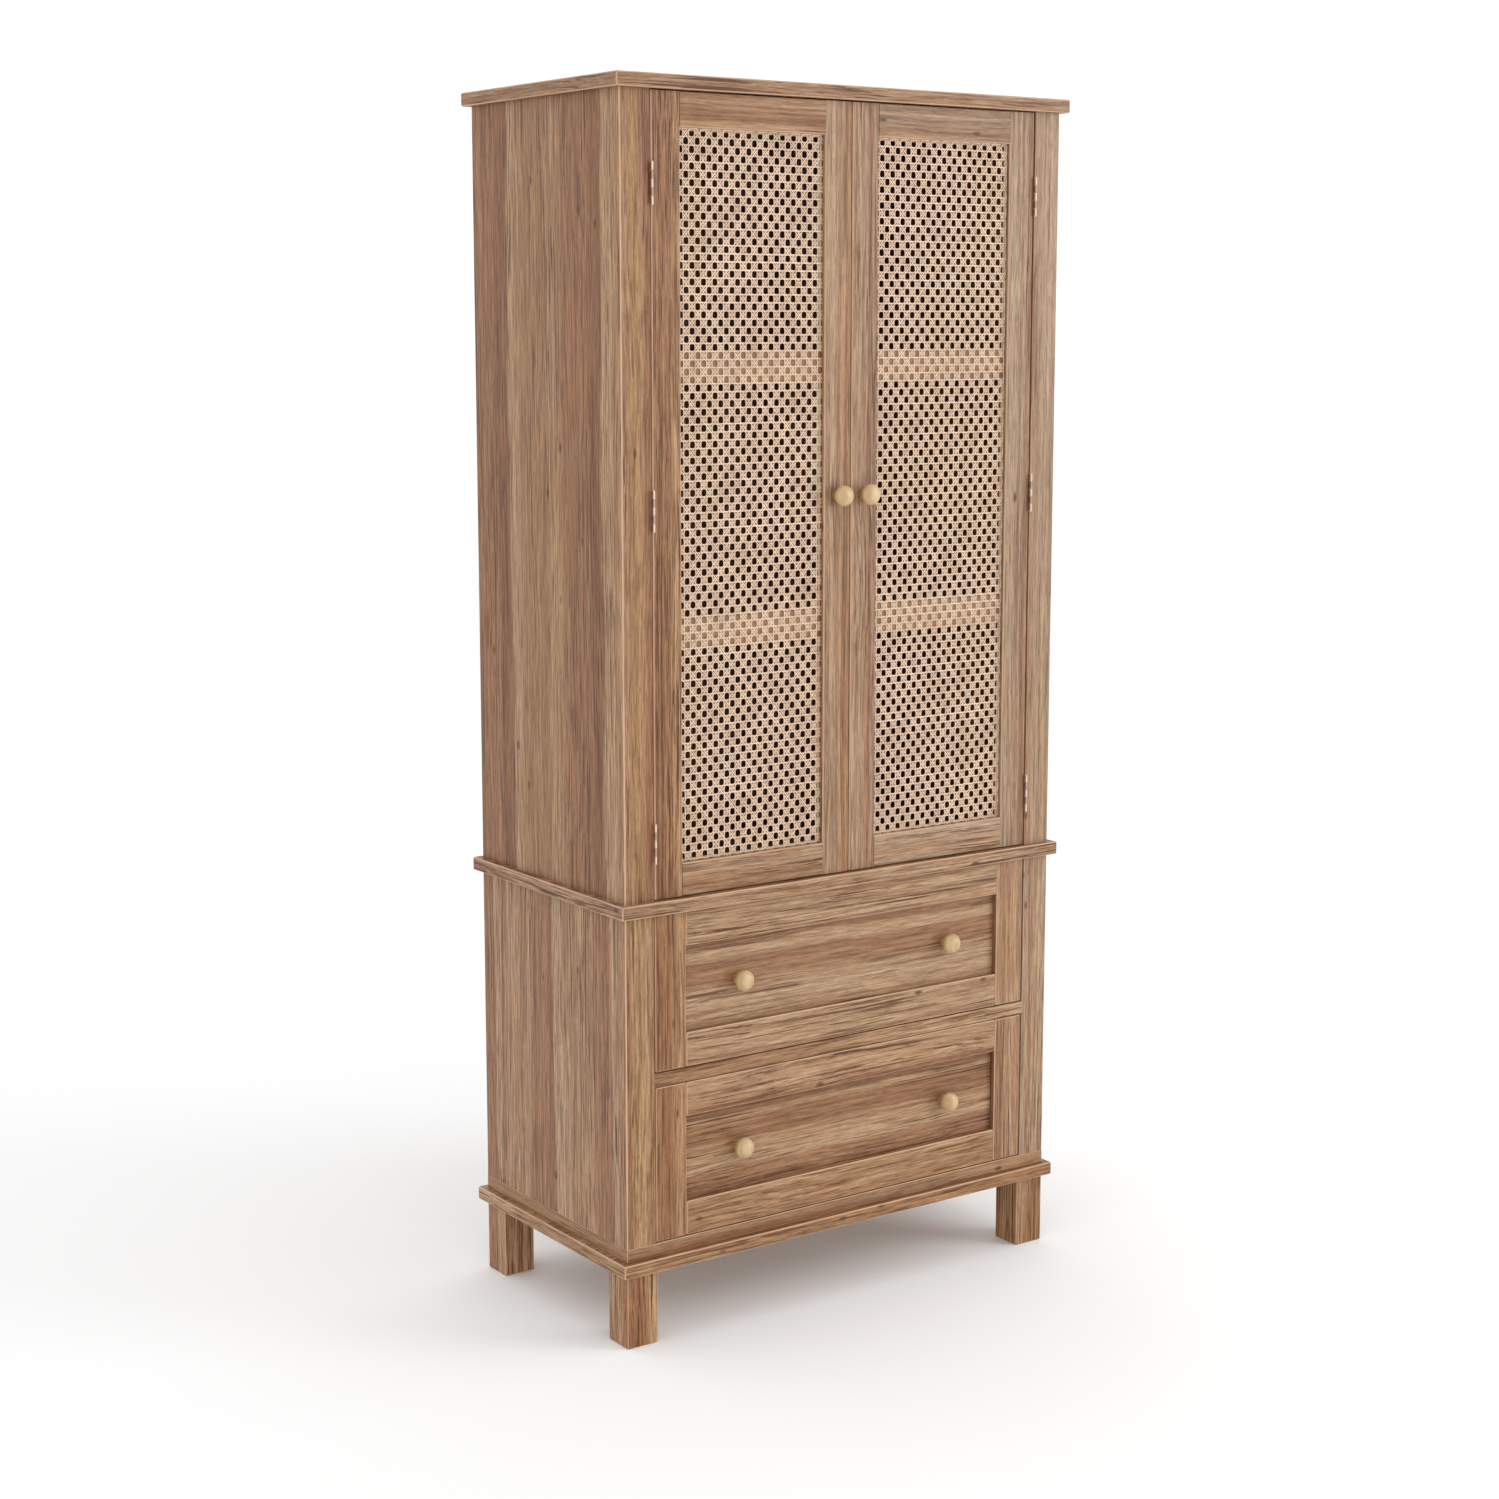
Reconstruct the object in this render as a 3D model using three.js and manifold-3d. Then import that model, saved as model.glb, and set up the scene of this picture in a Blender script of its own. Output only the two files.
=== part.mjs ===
// A two-door armoire with woven-cane door panels over two drawers, on four square legs.
// Millimetres, +Z up, front facing -Y. The origin is the middle of the footprint on the floor.
import * as THREE from 'three';
import { mergeVertices } from 'three/addons/utils/BufferGeometryUtils.js';
import Module from 'manifold-3d';

const wasm = await Module();
wasm.setup();

// ---- Driving dimensions -------------------------------------------------------------------
const OVERALL_WIDTH = 735; // across the overhanging boards
const OVERALL_DEPTH = 388; // of the overhanging boards, without the knobs
const OVERALL_HEIGHT = 1630;
const BOARD = 18; // thickness of every board, stile, rail and door
const OVERHANG = 10; // of the top, middle and base boards past the case, all round
const EASE = 1.5; // eased edge of the boards

const LEG_HEIGHT = 100;
const LEG_WIDTH = 47;
const DRAWER_SECTION = 440; // clear height between the bottom panel and the middle board
const CASE_STILE = 44; // width of the case's front uprights
const BACK_PANEL = 4;
const BACK_INSET = 4; // the back panels sit this far inside the case's back edge
const SHELF_SETBACK = 22; // from the case's front plane to a shelf's front edge
const LOWER_SHELF_MIDDLE = 934; // height of the shelf and of the doors' cross rails
const UPPER_SHELF_MIDDLE = 1272;

const HINGE_GAP = 1.75; // between a case stile and its door
const MEETING_GAP = 1.5; // between the two doors
const FACE_GAP = 1.5; // above and below every door and drawer front
const DOOR_FRAME = 43; // width of a door's stiles and rails
const CANE_SETBACK = 6; // from the door's face to the cane
const CANE_SHEET = 2;
const CANE_GROOVE = 5; // depth of the groove that holds the cane
const GROOVE_PLAY = 0.25; // on each side of the sheet, inside its groove
const CROSS_RAIL = 40; // height of a door's cross rails
const CROSS_RAIL_DEPTH = 10;

const HINGE_HEIGHT = 52;
const HINGE_LEAF = 0.75; // thickness of a hinge leaf
const HINGE_LEAF_DEPTH = 15;
const HINGE_PROUD = 3.5; // hinge axis in front of the door's face
const KNUCKLES = 5;
const KNUCKLE_RADIUS = 1.6;
const KNUCKLE_GAP = 0.4;
const PIN_RADIUS = 0.7;
const PIN_BORE_RADIUS = 1.05;
const PIN_LENGTH = 54;
const PIN_SIDES = 12;
const HINGE_FROM_DOOR_TOP = 112.5; // centre of the top hinge
const HINGE_FROM_DOOR_FOOT = 73.5; // centre of the bottom hinge
const MIDDLE_HINGE_DROP = 9; // centre of the middle hinge below the door's middle

const DRAWER_STILE = 48; // width of a drawer front's uprights
const DRAWER_RAIL = 46; // height of a drawer front's top and bottom rails
const DRAWER_PANEL_SETBACK = 8.5; // from the drawer's face to its sunk panel
const DRAWER_SIDE_GAP = 1.5; // between a drawer front and the case stile
const BOX_WIDTH = 612;
const BOX_DEPTH = 320;
const BOX_WALL = 12;
const BOX_RISE = 3; // underside of the box sides above the floor of the bay
const BOX_FLOOR_RISE = 13; // underside of the box's floor above the floor of the bay
const BOX_FLOOR = 4;
const BOX_TOP_RISE = 163; // top of the box sides above the floor of the bay
const BAY_RAIL_DEPTH = 80;

const GUIDE_WIDTH = 35;
const GUIDE_HEIGHT = 9;
const GUIDE_SETBACK = 1; // from the drawer front's back to the guide's end
const RUNNER_GAP = 0.75; // between the guide and the runners on the drawer
const RUNNER = 6;

const KNOB_RADIUS = 14; // of the slightly flattened ball
const KNOB_HALF_DEPTH = 10; // of the ball, along the knob's axis
const KNOB_PROJECTION = 25;
const KNOB_NECK_RADIUS = 6.5;
const KNOB_FOOT_RADIUS = 8.5;
const KNOB_FOOT = 2; // height of the flare at the foot
const KNOB_ARC_STEPS = 9;
const KNOB_SIDES = 20;
const DOOR_KNOB_HEIGHT = 1103; // above the floor
const DRAWER_KNOB_SPREAD = 353; // between the two knobs of a drawer

const CATCH_WIDTH = 44;
const CATCH_DEPTH = 24;
const CATCH_HEIGHT = 16;
const CATCH_GAP = 0.5;

const OVERLAP = 1; // how far pieces that are joined into one solid run into each other

// ---- Places that follow from them ---------------------------------------------------------
const CASE_X = OVERALL_WIDTH / 2 - OVERHANG;
const KNOB_TIP_Y = -(OVERALL_DEPTH - OVERHANG + KNOB_PROJECTION) / 2;
const FACE_Y = KNOB_TIP_Y + KNOB_PROJECTION;
const CASE_BACK_Y = -KNOB_TIP_Y - OVERHANG;
const INNER_X = CASE_X - BOARD;
const BAY_X = CASE_X - CASE_STILE;
const BACK_PANEL_Y = CASE_BACK_Y - BACK_INSET - BACK_PANEL;

const BASE_Z = LEG_HEIGHT;
const BOTTOM_PANEL_Z = BASE_Z + BOARD;
const LOWER_Z = BOTTOM_PANEL_Z + BOARD;
const MIDDLE_Z = LOWER_Z + DRAWER_SECTION;
const UPPER_Z = MIDDLE_Z + BOARD;
const TOP_Z = OVERALL_HEIGHT - BOARD;
const BAY_HEIGHT = (DRAWER_SECTION - BOARD) / 2;
const BAY_RAIL_Z = LOWER_Z + BAY_HEIGHT;

const DOOR_BOTTOM_Z = UPPER_Z + FACE_GAP;
const DOOR_TOP_Z = TOP_Z - FACE_GAP;
const DOOR_OUTER_X = BAY_X - HINGE_GAP;
const DOOR_INNER_X = MEETING_GAP / 2;
const CANE_OUTER_X = DOOR_OUTER_X - DOOR_FRAME;
const CANE_INNER_X = DOOR_INNER_X + DOOR_FRAME;
const CANE_BOTTOM_Z = DOOR_BOTTOM_Z + DOOR_FRAME;
const CANE_TOP_Z = DOOR_TOP_Z - DOOR_FRAME;
const SHELF_MIDDLE_Z = [LOWER_SHELF_MIDDLE, UPPER_SHELF_MIDDLE];
const HINGE_X = BAY_X - HINGE_GAP / 2;
const HINGE_Y = FACE_Y - HINGE_PROUD;
const HINGE_Z = [
  DOOR_BOTTOM_Z + HINGE_FROM_DOOR_FOOT,
  (DOOR_BOTTOM_Z + DOOR_TOP_Z) / 2 - MIDDLE_HINGE_DROP,
  DOOR_TOP_Z - HINGE_FROM_DOOR_TOP,
];

const SIDES = [['left', -1], ['right', 1]];
const HINGE_NAMES = ['bottom', 'middle', 'top'];
const SHELF_NAMES = ['lower', 'upper'];
const DRAWERS = [['lower', LOWER_Z], ['upper', BAY_RAIL_Z + BOARD]];

// ---- Materials ----------------------------------------------------------------------------
function finish(color, roughness, metalness) {
  return new THREE.MeshStandardMaterial({ color, roughness, metalness });
}

const caseWood = finish('#a98a68', 0.55, 0);
const doorWood = finish('#b08c66', 0.55, 0);
const drawerWood = finish('#9c7a58', 0.55, 0);
const paleWood = finish('#d9bd90', 0.5, 0);
const boxWood = finish('#cbb08a', 0.7, 0);
const backBoard = finish('#b79a76', 0.75, 0);
const cane = finish('#dcc5a2', 0.7, 0);
const hingeSteel = finish('#c9c4b8', 0.35, 0.9);
const darkPlastic = finish('#2b2a29', 0.6, 0);

// ---- Geometry helpers ---------------------------------------------------------------------
// A block between bounds, returned in place.
function block(x, y, z) {
  const box = new THREE.BoxGeometry(x[1] - x[0], y[1] - y[0], z[1] - z[0]);
  return box.translate((x[0] + x[1]) / 2, (y[0] + y[1]) / 2, (z[0] + z[1]) / 2);
}

// A closed outline from [u, v] pairs.
function outline(points) {
  return new THREE.Shape(points.map(([u, v]) => new THREE.Vector2(u, v)));
}

// An outline in the XY plane, raised from z[0] to z[1].
function upright(points, z) {
  const options = { depth: z[1] - z[0], bevelEnabled: false };
  return new THREE.ExtrudeGeometry(outline(points), options).translate(0, 0, z[0]);
}

// An outline of [y, z] points, drawn out along X from x[0] to x[1].
function lengthwise(points, x) {
  const along = new THREE.ExtrudeGeometry(outline(points), { depth: x[1] - x[0], bevelEnabled: false });
  const turn = new THREE.Matrix4().makeBasis(
    new THREE.Vector3(0, 1, 0),
    new THREE.Vector3(0, 0, 1),
    new THREE.Vector3(1, 0, 0),
  );
  return along.applyMatrix4(turn).translate(x[0], 0, 0);
}

// A block between bounds with every edge eased.
function easedBlock(x, y, z, ease = EASE) {
  const corners = [
    [x[0] + ease, y[0]], [x[1] - ease, y[0]], [x[1], y[0] + ease], [x[1], y[1] - ease],
    [x[1] - ease, y[1]], [x[0] + ease, y[1]], [x[0], y[1] - ease], [x[0], y[0] + ease],
  ];
  const slab = new THREE.ExtrudeGeometry(outline(corners), {
    depth: z[1] - z[0] - 2 * ease,
    bevelThickness: ease,
    bevelSize: ease,
    bevelOffset: -ease,
    bevelSegments: 1,
  });
  return slab.translate(0, 0, z[0] + ease);
}

function toSolid(geometry) {
  const bare = geometry.clone();
  bare.deleteAttribute('normal');
  bare.deleteAttribute('uv');
  const merged = mergeVertices(bare);
  return new wasm.Manifold(new wasm.Mesh({
    numProp: 3,
    vertProperties: new Float32Array(merged.attributes.position.array),
    triVerts: new Uint32Array(merged.index.array),
  }));
}

function toGeometry(solid) {
  const mesh = solid.getMesh();
  const geometry = new THREE.BufferGeometry();
  geometry.setAttribute('position', new THREE.BufferAttribute(mesh.vertProperties, 3));
  geometry.setIndex(new THREE.BufferAttribute(mesh.triVerts, 1));
  return geometry;
}

function joined(pieces) {
  return pieces.map(toSolid).reduce((sum, piece) => sum.add(piece));
}

function add(group, name, geometry, material, place = [0, 0, 0]) {
  const mesh = new THREE.Mesh(geometry, material);
  mesh.name = name;
  mesh.position.set(...place);
  group.add(mesh);
}

// Bounds on one side of the cabinet: side -1 mirrors them to the left.
function mirrored(side, inner, outer) {
  return side < 0 ? [-outer, -inner] : [inner, outer];
}

// ---- Case ---------------------------------------------------------------------------------
function overhangingBoard(z) {
  const half = CASE_X + OVERHANG;
  return easedBlock([-half, half], [FACE_Y - OVERHANG, CASE_BACK_Y + OVERHANG], [z, z + BOARD]);
}

// The front upright: its outer edge is mitred against the side panel behind it.
function caseStile(side, z) {
  return upright([
    [side * BAY_X, FACE_Y],
    [side * (CASE_X - EASE), FACE_Y],
    [side * (CASE_X - EASE / 2), FACE_Y + EASE / 2],
    [side * INNER_X, FACE_Y + BOARD],
    [side * BAY_X, FACE_Y + BOARD],
  ], z);
}

function sidePanel(side, z) {
  return upright([
    [side * (CASE_X - EASE / 2), FACE_Y + EASE / 2],
    [side * CASE_X, FACE_Y + EASE],
    [side * CASE_X, CASE_BACK_Y - EASE],
    [side * (CASE_X - EASE), CASE_BACK_Y],
    [side * INNER_X, CASE_BACK_Y],
    [side * INNER_X, FACE_Y + BOARD],
  ], z);
}

// The rail between the drawers: a front edge between the stiles, wider behind them.
function bayRail() {
  const behind = FACE_Y + BOARD;
  const rear = FACE_Y + BAY_RAIL_DEPTH;
  return upright([
    [-BAY_X, FACE_Y], [BAY_X, FACE_Y], [BAY_X, behind], [INNER_X, behind],
    [INNER_X, rear], [-INNER_X, rear], [-INNER_X, behind], [-BAY_X, behind],
  ], [BAY_RAIL_Z, BAY_RAIL_Z + BOARD]);
}

function makeCase() {
  const group = new THREE.Group();
  const sections = [['lower', [LOWER_Z, MIDDLE_Z]], ['upper', [UPPER_Z, TOP_Z]]];
  add(group, 'base_board', overhangingBoard(BASE_Z), caseWood);
  add(group, 'mid_board', overhangingBoard(MIDDLE_Z), caseWood);
  add(group, 'top_board', overhangingBoard(TOP_Z), caseWood);
  const floor = easedBlock([-CASE_X, CASE_X], [FACE_Y, CASE_BACK_Y], [BOTTOM_PANEL_Z, LOWER_Z], EASE / 2);
  add(group, 'bottom_panel', floor, caseWood);
  add(group, 'drawer_rail', bayRail(), caseWood);
  for (const [level, z] of sections) {
    for (const [hand, side] of SIDES) {
      add(group, `${level}_side_${hand}`, sidePanel(side, z), caseWood);
      add(group, `${level}_stile_${hand}`, caseStile(side, z), caseWood);
    }
    const back = block([-INNER_X, INNER_X], [BACK_PANEL_Y, BACK_PANEL_Y + BACK_PANEL], z);
    add(group, `${level}_back_panel`, back, backBoard);
  }
  SHELF_NAMES.forEach((level, i) => {
    const z = [SHELF_MIDDLE_Z[i] - BOARD / 2, SHELF_MIDDLE_Z[i] + BOARD / 2];
    const y = [FACE_Y + SHELF_SETBACK, BACK_PANEL_Y];
    add(group, `shelf_${level}`, block([-INNER_X, INNER_X], y, z), caseWood);
  });
  return group;
}

function makeLegs() {
  const group = new THREE.Group();
  const rows = [
    ['front', [FACE_Y, FACE_Y + LEG_WIDTH]],
    ['back', [CASE_BACK_Y - LEG_WIDTH, CASE_BACK_Y]],
  ];
  for (const [row, y] of rows) {
    for (const [hand, side] of SIDES) {
      const x = mirrored(side, CASE_X - LEG_WIDTH, CASE_X);
      add(group, `leg_${row}_${hand}`, easedBlock(x, y, [0, LEG_HEIGHT]), caseWood);
    }
  }
  return group;
}

// ---- Knobs --------------------------------------------------------------------------------
// A slightly flattened ball on a short neck, its axis along -Y, its foot at the origin.
function knob() {
  const centre = KNOB_PROJECTION - KNOB_HALF_DEPTH;
  const start = Math.asin(KNOB_NECK_RADIUS / KNOB_RADIUS);
  const profile = [
    new THREE.Vector2(0, 0),
    new THREE.Vector2(KNOB_FOOT_RADIUS, 0),
    new THREE.Vector2(KNOB_NECK_RADIUS, KNOB_FOOT),
  ];
  for (let i = 0; i < KNOB_ARC_STEPS; i += 1) {
    const angle = start + ((Math.PI - start) * i) / KNOB_ARC_STEPS;
    const radius = KNOB_RADIUS * Math.sin(angle);
    profile.push(new THREE.Vector2(radius, centre - KNOB_HALF_DEPTH * Math.cos(angle)));
  }
  profile.push(new THREE.Vector2(0, KNOB_PROJECTION));
  return new THREE.LatheGeometry(profile, KNOB_SIDES).rotateX(Math.PI);
}

// ---- Hinges -------------------------------------------------------------------------------
// A plain butt hinge in the gap beside a door, in its own frame: the axis is the Z axis.
function knuckle(index) {
  const pitch = HINGE_HEIGHT / KNUCKLES;
  const z = (index - (KNUCKLES - 1) / 2) * pitch;
  return new THREE.CylinderGeometry(KNUCKLE_RADIUS, KNUCKLE_RADIUS, pitch - KNUCKLE_GAP, PIN_SIDES)
    .rotateX(Math.PI / 2)
    .translate(0, 0, z);
}

// One leaf with every second knuckle; toward is +1 for the side that +X lies on.
function hingeLeaf(toward, firstKnuckle) {
  const x = mirrored(toward, HINGE_GAP / 2 - HINGE_LEAF, HINGE_GAP / 2);
  const pitch = HINGE_HEIGHT / KNUCKLES;
  const half = HINGE_HEIGHT / 2;
  const pieces = [block(x, [HINGE_PROUD, HINGE_PROUD + HINGE_LEAF_DEPTH], [-half, half])];
  for (let i = firstKnuckle; i < KNUCKLES; i += 2) {
    const foot = -half + i * pitch + KNUCKLE_GAP / 2;
    pieces.push(knuckle(i));
    pieces.push(block(x, [OVERLAP, HINGE_PROUD + OVERLAP], [foot, foot + pitch - KNUCKLE_GAP]));
  }
  return joined(pieces);
}

function pinRod(radius, length) {
  return toSolid(new THREE.CylinderGeometry(radius, radius, length, PIN_SIDES).rotateX(Math.PI / 2));
}

function frameLeaf(side) {
  return toGeometry(hingeLeaf(side, 0).add(pinRod(PIN_RADIUS, PIN_LENGTH)));
}

function doorLeaf(side) {
  return toGeometry(hingeLeaf(-side, 1).subtract(pinRod(PIN_BORE_RADIUS, PIN_LENGTH)));
}

function makeFrameHinges() {
  const group = new THREE.Group();
  for (const [hand, side] of SIDES) {
    HINGE_Z.forEach((z, i) => {
      const name = `${hand}_hinge_${HINGE_NAMES[i]}_frame_leaf`;
      add(group, name, frameLeaf(side), hingeSteel, [side * HINGE_X, HINGE_Y, z]);
    });
  }
  return group;
}

// ---- Doors --------------------------------------------------------------------------------
const DOOR_BACK_Y = FACE_Y + BOARD;
const CANE_Y = [FACE_Y + CANE_SETBACK, FACE_Y + CANE_SETBACK + CANE_SHEET];
const GROOVE_Y = [CANE_Y[0] - GROOVE_PLAY, CANE_Y[1] + GROOVE_PLAY];

// A door frame member's section: plain is the outer edge, grooved the edge that holds the cane.
function doorSection(plain, grooved) {
  const inward = Math.sign(plain - grooved);
  return [
    [plain - inward * EASE, FACE_Y],
    [grooved + inward * EASE, FACE_Y],
    [grooved, FACE_Y + EASE],
    [grooved, GROOVE_Y[0]],
    [grooved + inward * CANE_GROOVE, GROOVE_Y[0]],
    [grooved + inward * CANE_GROOVE, GROOVE_Y[1]],
    [grooved, GROOVE_Y[1]],
    [grooved, DOOR_BACK_Y],
    [plain, DOOR_BACK_Y],
    [plain, FACE_Y + EASE],
  ];
}

function doorStile(side, plain, grooved) {
  const points = doorSection(plain, grooved).map(([x, y]) => [side * x, y]);
  return upright(points, [DOOR_BOTTOM_Z, DOOR_TOP_Z]);
}

function doorRail(side, plain, grooved) {
  const points = doorSection(plain, grooved).map(([z, y]) => [y, z]);
  return lengthwise(points, mirrored(side, CANE_INNER_X, CANE_OUTER_X));
}

function canePanel(side) {
  const tuck = CANE_GROOVE - GROOVE_PLAY;
  const x = mirrored(side, CANE_INNER_X - tuck, CANE_OUTER_X + tuck);
  return block(x, CANE_Y, [CANE_BOTTOM_Z - tuck, CANE_TOP_Z + tuck]);
}

function crossRail(side, centre) {
  const x = mirrored(side, CANE_INNER_X, CANE_OUTER_X);
  const z = [centre - CROSS_RAIL / 2, centre + CROSS_RAIL / 2];
  return block(x, [DOOR_BACK_Y - CROSS_RAIL_DEPTH, DOOR_BACK_Y], z);
}

function makeDoor(hand, side) {
  const group = new THREE.Group();
  const knobX = side * (DOOR_INNER_X + DOOR_FRAME / 2);
  add(group, `${hand}_door_hinge_stile`, doorStile(side, DOOR_OUTER_X, CANE_OUTER_X), doorWood);
  add(group, `${hand}_door_meeting_stile`, doorStile(side, DOOR_INNER_X, CANE_INNER_X), doorWood);
  add(group, `${hand}_door_top_rail`, doorRail(side, DOOR_TOP_Z, CANE_TOP_Z), doorWood);
  add(group, `${hand}_door_bottom_rail`, doorRail(side, DOOR_BOTTOM_Z, CANE_BOTTOM_Z), doorWood);
  add(group, `${hand}_door_cane_panel`, canePanel(side), cane);
  SHELF_NAMES.forEach((level, i) => {
    add(group, `${hand}_door_cross_rail_${level}`, crossRail(side, SHELF_MIDDLE_Z[i]), doorWood);
  });
  add(group, `${hand}_door_knob`, knob(), paleWood, [knobX, FACE_Y, DOOR_KNOB_HEIGHT]);
  HINGE_Z.forEach((z, i) => {
    const name = `${hand}_hinge_${HINGE_NAMES[i]}_door_leaf`;
    add(group, name, doorLeaf(side), hingeSteel, [side * HINGE_X, HINGE_Y, z]);
  });
  return group;
}

function magneticCatch() {
  const half = CATCH_WIDTH / 2;
  const front = DOOR_BACK_Y + CATCH_GAP;
  return easedBlock([-half, half], [front, front + CATCH_DEPTH], [TOP_Z - CATCH_HEIGHT, TOP_Z]);
}

// ---- Drawers ------------------------------------------------------------------------------
// Each drawer is drawn from the floor of its bay, z = 0, and stands behind the case's front plane.
const FRONT_X = BAY_X - DRAWER_SIDE_GAP;
const FRONT_Z = [FACE_GAP, BAY_HEIGHT - FACE_GAP];

function drawerFront() {
  const slab = toSolid(easedBlock([-FRONT_X, FRONT_X], [FACE_Y, DOOR_BACK_Y], FRONT_Z));
  const x = [-FRONT_X + DRAWER_STILE, FRONT_X - DRAWER_STILE];
  const z = [FRONT_Z[0] + DRAWER_RAIL, FRONT_Z[1] - DRAWER_RAIL];
  const sunk = toSolid(block(x, [FACE_Y - OVERLAP, FACE_Y + DRAWER_PANEL_SETBACK], z));
  return toGeometry(slab.subtract(sunk));
}

// Two sides, a floor and a back in one piece, with the runners that straddle the centre guide.
function drawerBox() {
  const half = BOX_WIDTH / 2;
  const inner = half - BOX_WALL;
  const across = [-inner - OVERLAP, inner + OVERLAP];
  const y = [DOOR_BACK_Y, DOOR_BACK_Y + BOX_DEPTH];
  const runnerInner = GUIDE_WIDTH / 2 + RUNNER_GAP;
  const runnerZ = [BOX_RISE, BOX_FLOOR_RISE + OVERLAP];
  const pieces = [
    block(across, y, [BOX_FLOOR_RISE, BOX_FLOOR_RISE + BOX_FLOOR]),
    block(across, [y[1] - BOX_WALL, y[1]], [BOX_FLOOR_RISE, BOX_TOP_RISE]),
  ];
  for (const [, side] of SIDES) {
    pieces.push(block(mirrored(side, inner, half), y, [BOX_RISE, BOX_TOP_RISE]));
    pieces.push(block(mirrored(side, runnerInner, runnerInner + RUNNER), y, runnerZ));
  }
  return toGeometry(joined(pieces));
}

function makeDrawer(level, bayFloor) {
  const group = new THREE.Group();
  group.position.z = bayFloor;
  add(group, `${level}_drawer_front`, drawerFront(), drawerWood);
  add(group, `${level}_drawer_box`, drawerBox(), boxWood);
  for (const [hand, side] of SIDES) {
    const place = [(side * DRAWER_KNOB_SPREAD) / 2, FACE_Y + DRAWER_PANEL_SETBACK, BAY_HEIGHT / 2];
    add(group, `${level}_drawer_knob_${hand}`, knob(), paleWood, place);
  }
  return group;
}

function makeGuides() {
  const group = new THREE.Group();
  const half = GUIDE_WIDTH / 2;
  for (const [level, bayFloor] of DRAWERS) {
    const z = [bayFloor, bayFloor + GUIDE_HEIGHT];
    const y = [DOOR_BACK_Y + GUIDE_SETBACK, BACK_PANEL_Y];
    add(group, `${level}_drawer_guide`, block([-half, half], y, z), boxWood);
  }
  return group;
}

// ---- Assembly -----------------------------------------------------------------------------
const armoire = new THREE.Group();
armoire.add(makeCase(), makeLegs(), makeFrameHinges(), makeGuides());
add(armoire, 'magnetic_catch', magneticCatch(), darkPlastic);
for (const [hand, side] of SIDES) {
  armoire.add(makeDoor(hand, side));
}
for (const [level, bayFloor] of DRAWERS) {
  armoire.add(makeDrawer(level, bayFloor));
}

export default armoire;
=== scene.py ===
import math
import random

import bmesh
import bpy
import numpy as np
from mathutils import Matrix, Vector


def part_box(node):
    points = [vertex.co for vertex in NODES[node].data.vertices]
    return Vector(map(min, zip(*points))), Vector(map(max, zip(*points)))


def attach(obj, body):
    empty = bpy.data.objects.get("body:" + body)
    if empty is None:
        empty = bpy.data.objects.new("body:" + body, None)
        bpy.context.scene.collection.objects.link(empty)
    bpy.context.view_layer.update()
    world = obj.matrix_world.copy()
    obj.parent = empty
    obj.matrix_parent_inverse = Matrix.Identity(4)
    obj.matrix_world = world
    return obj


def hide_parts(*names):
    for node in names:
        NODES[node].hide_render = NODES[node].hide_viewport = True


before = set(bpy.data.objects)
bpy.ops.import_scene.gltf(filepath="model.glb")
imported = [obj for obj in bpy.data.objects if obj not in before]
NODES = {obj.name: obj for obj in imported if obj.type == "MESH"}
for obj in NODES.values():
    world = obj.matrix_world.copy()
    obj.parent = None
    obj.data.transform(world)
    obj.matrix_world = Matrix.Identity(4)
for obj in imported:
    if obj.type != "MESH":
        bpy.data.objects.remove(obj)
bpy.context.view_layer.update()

MM = 0.001
SIDES = (("left", -1), ("right", 1))
LEVELS = ("upper", "lower")


# ---- Camera ----
CAMERA_PLACE = (-2.068, -2.880, 1.330)
CAMERA_YAW = math.radians(35.16)
CAMERA_PITCH = math.radians(8.49)
CAMERA_LENS = 61.70
CAMERA_SHIFT_Y = -0.03
SENSOR_WIDTH = 36  # millimetres, like the lens
CLIP_END = 100


def make_camera():
    data = bpy.data.cameras.new("camera")
    data.lens = CAMERA_LENS
    data.sensor_width = SENSOR_WIDTH
    data.shift_y = CAMERA_SHIFT_Y
    data.clip_end = CLIP_END
    camera = bpy.data.objects.new("camera", data)
    camera.location = CAMERA_PLACE
    camera.rotation_euler = (math.pi / 2 - CAMERA_PITCH, 0, -CAMERA_YAW)
    bpy.context.collection.objects.link(camera)
    bpy.context.scene.camera = camera


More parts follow.
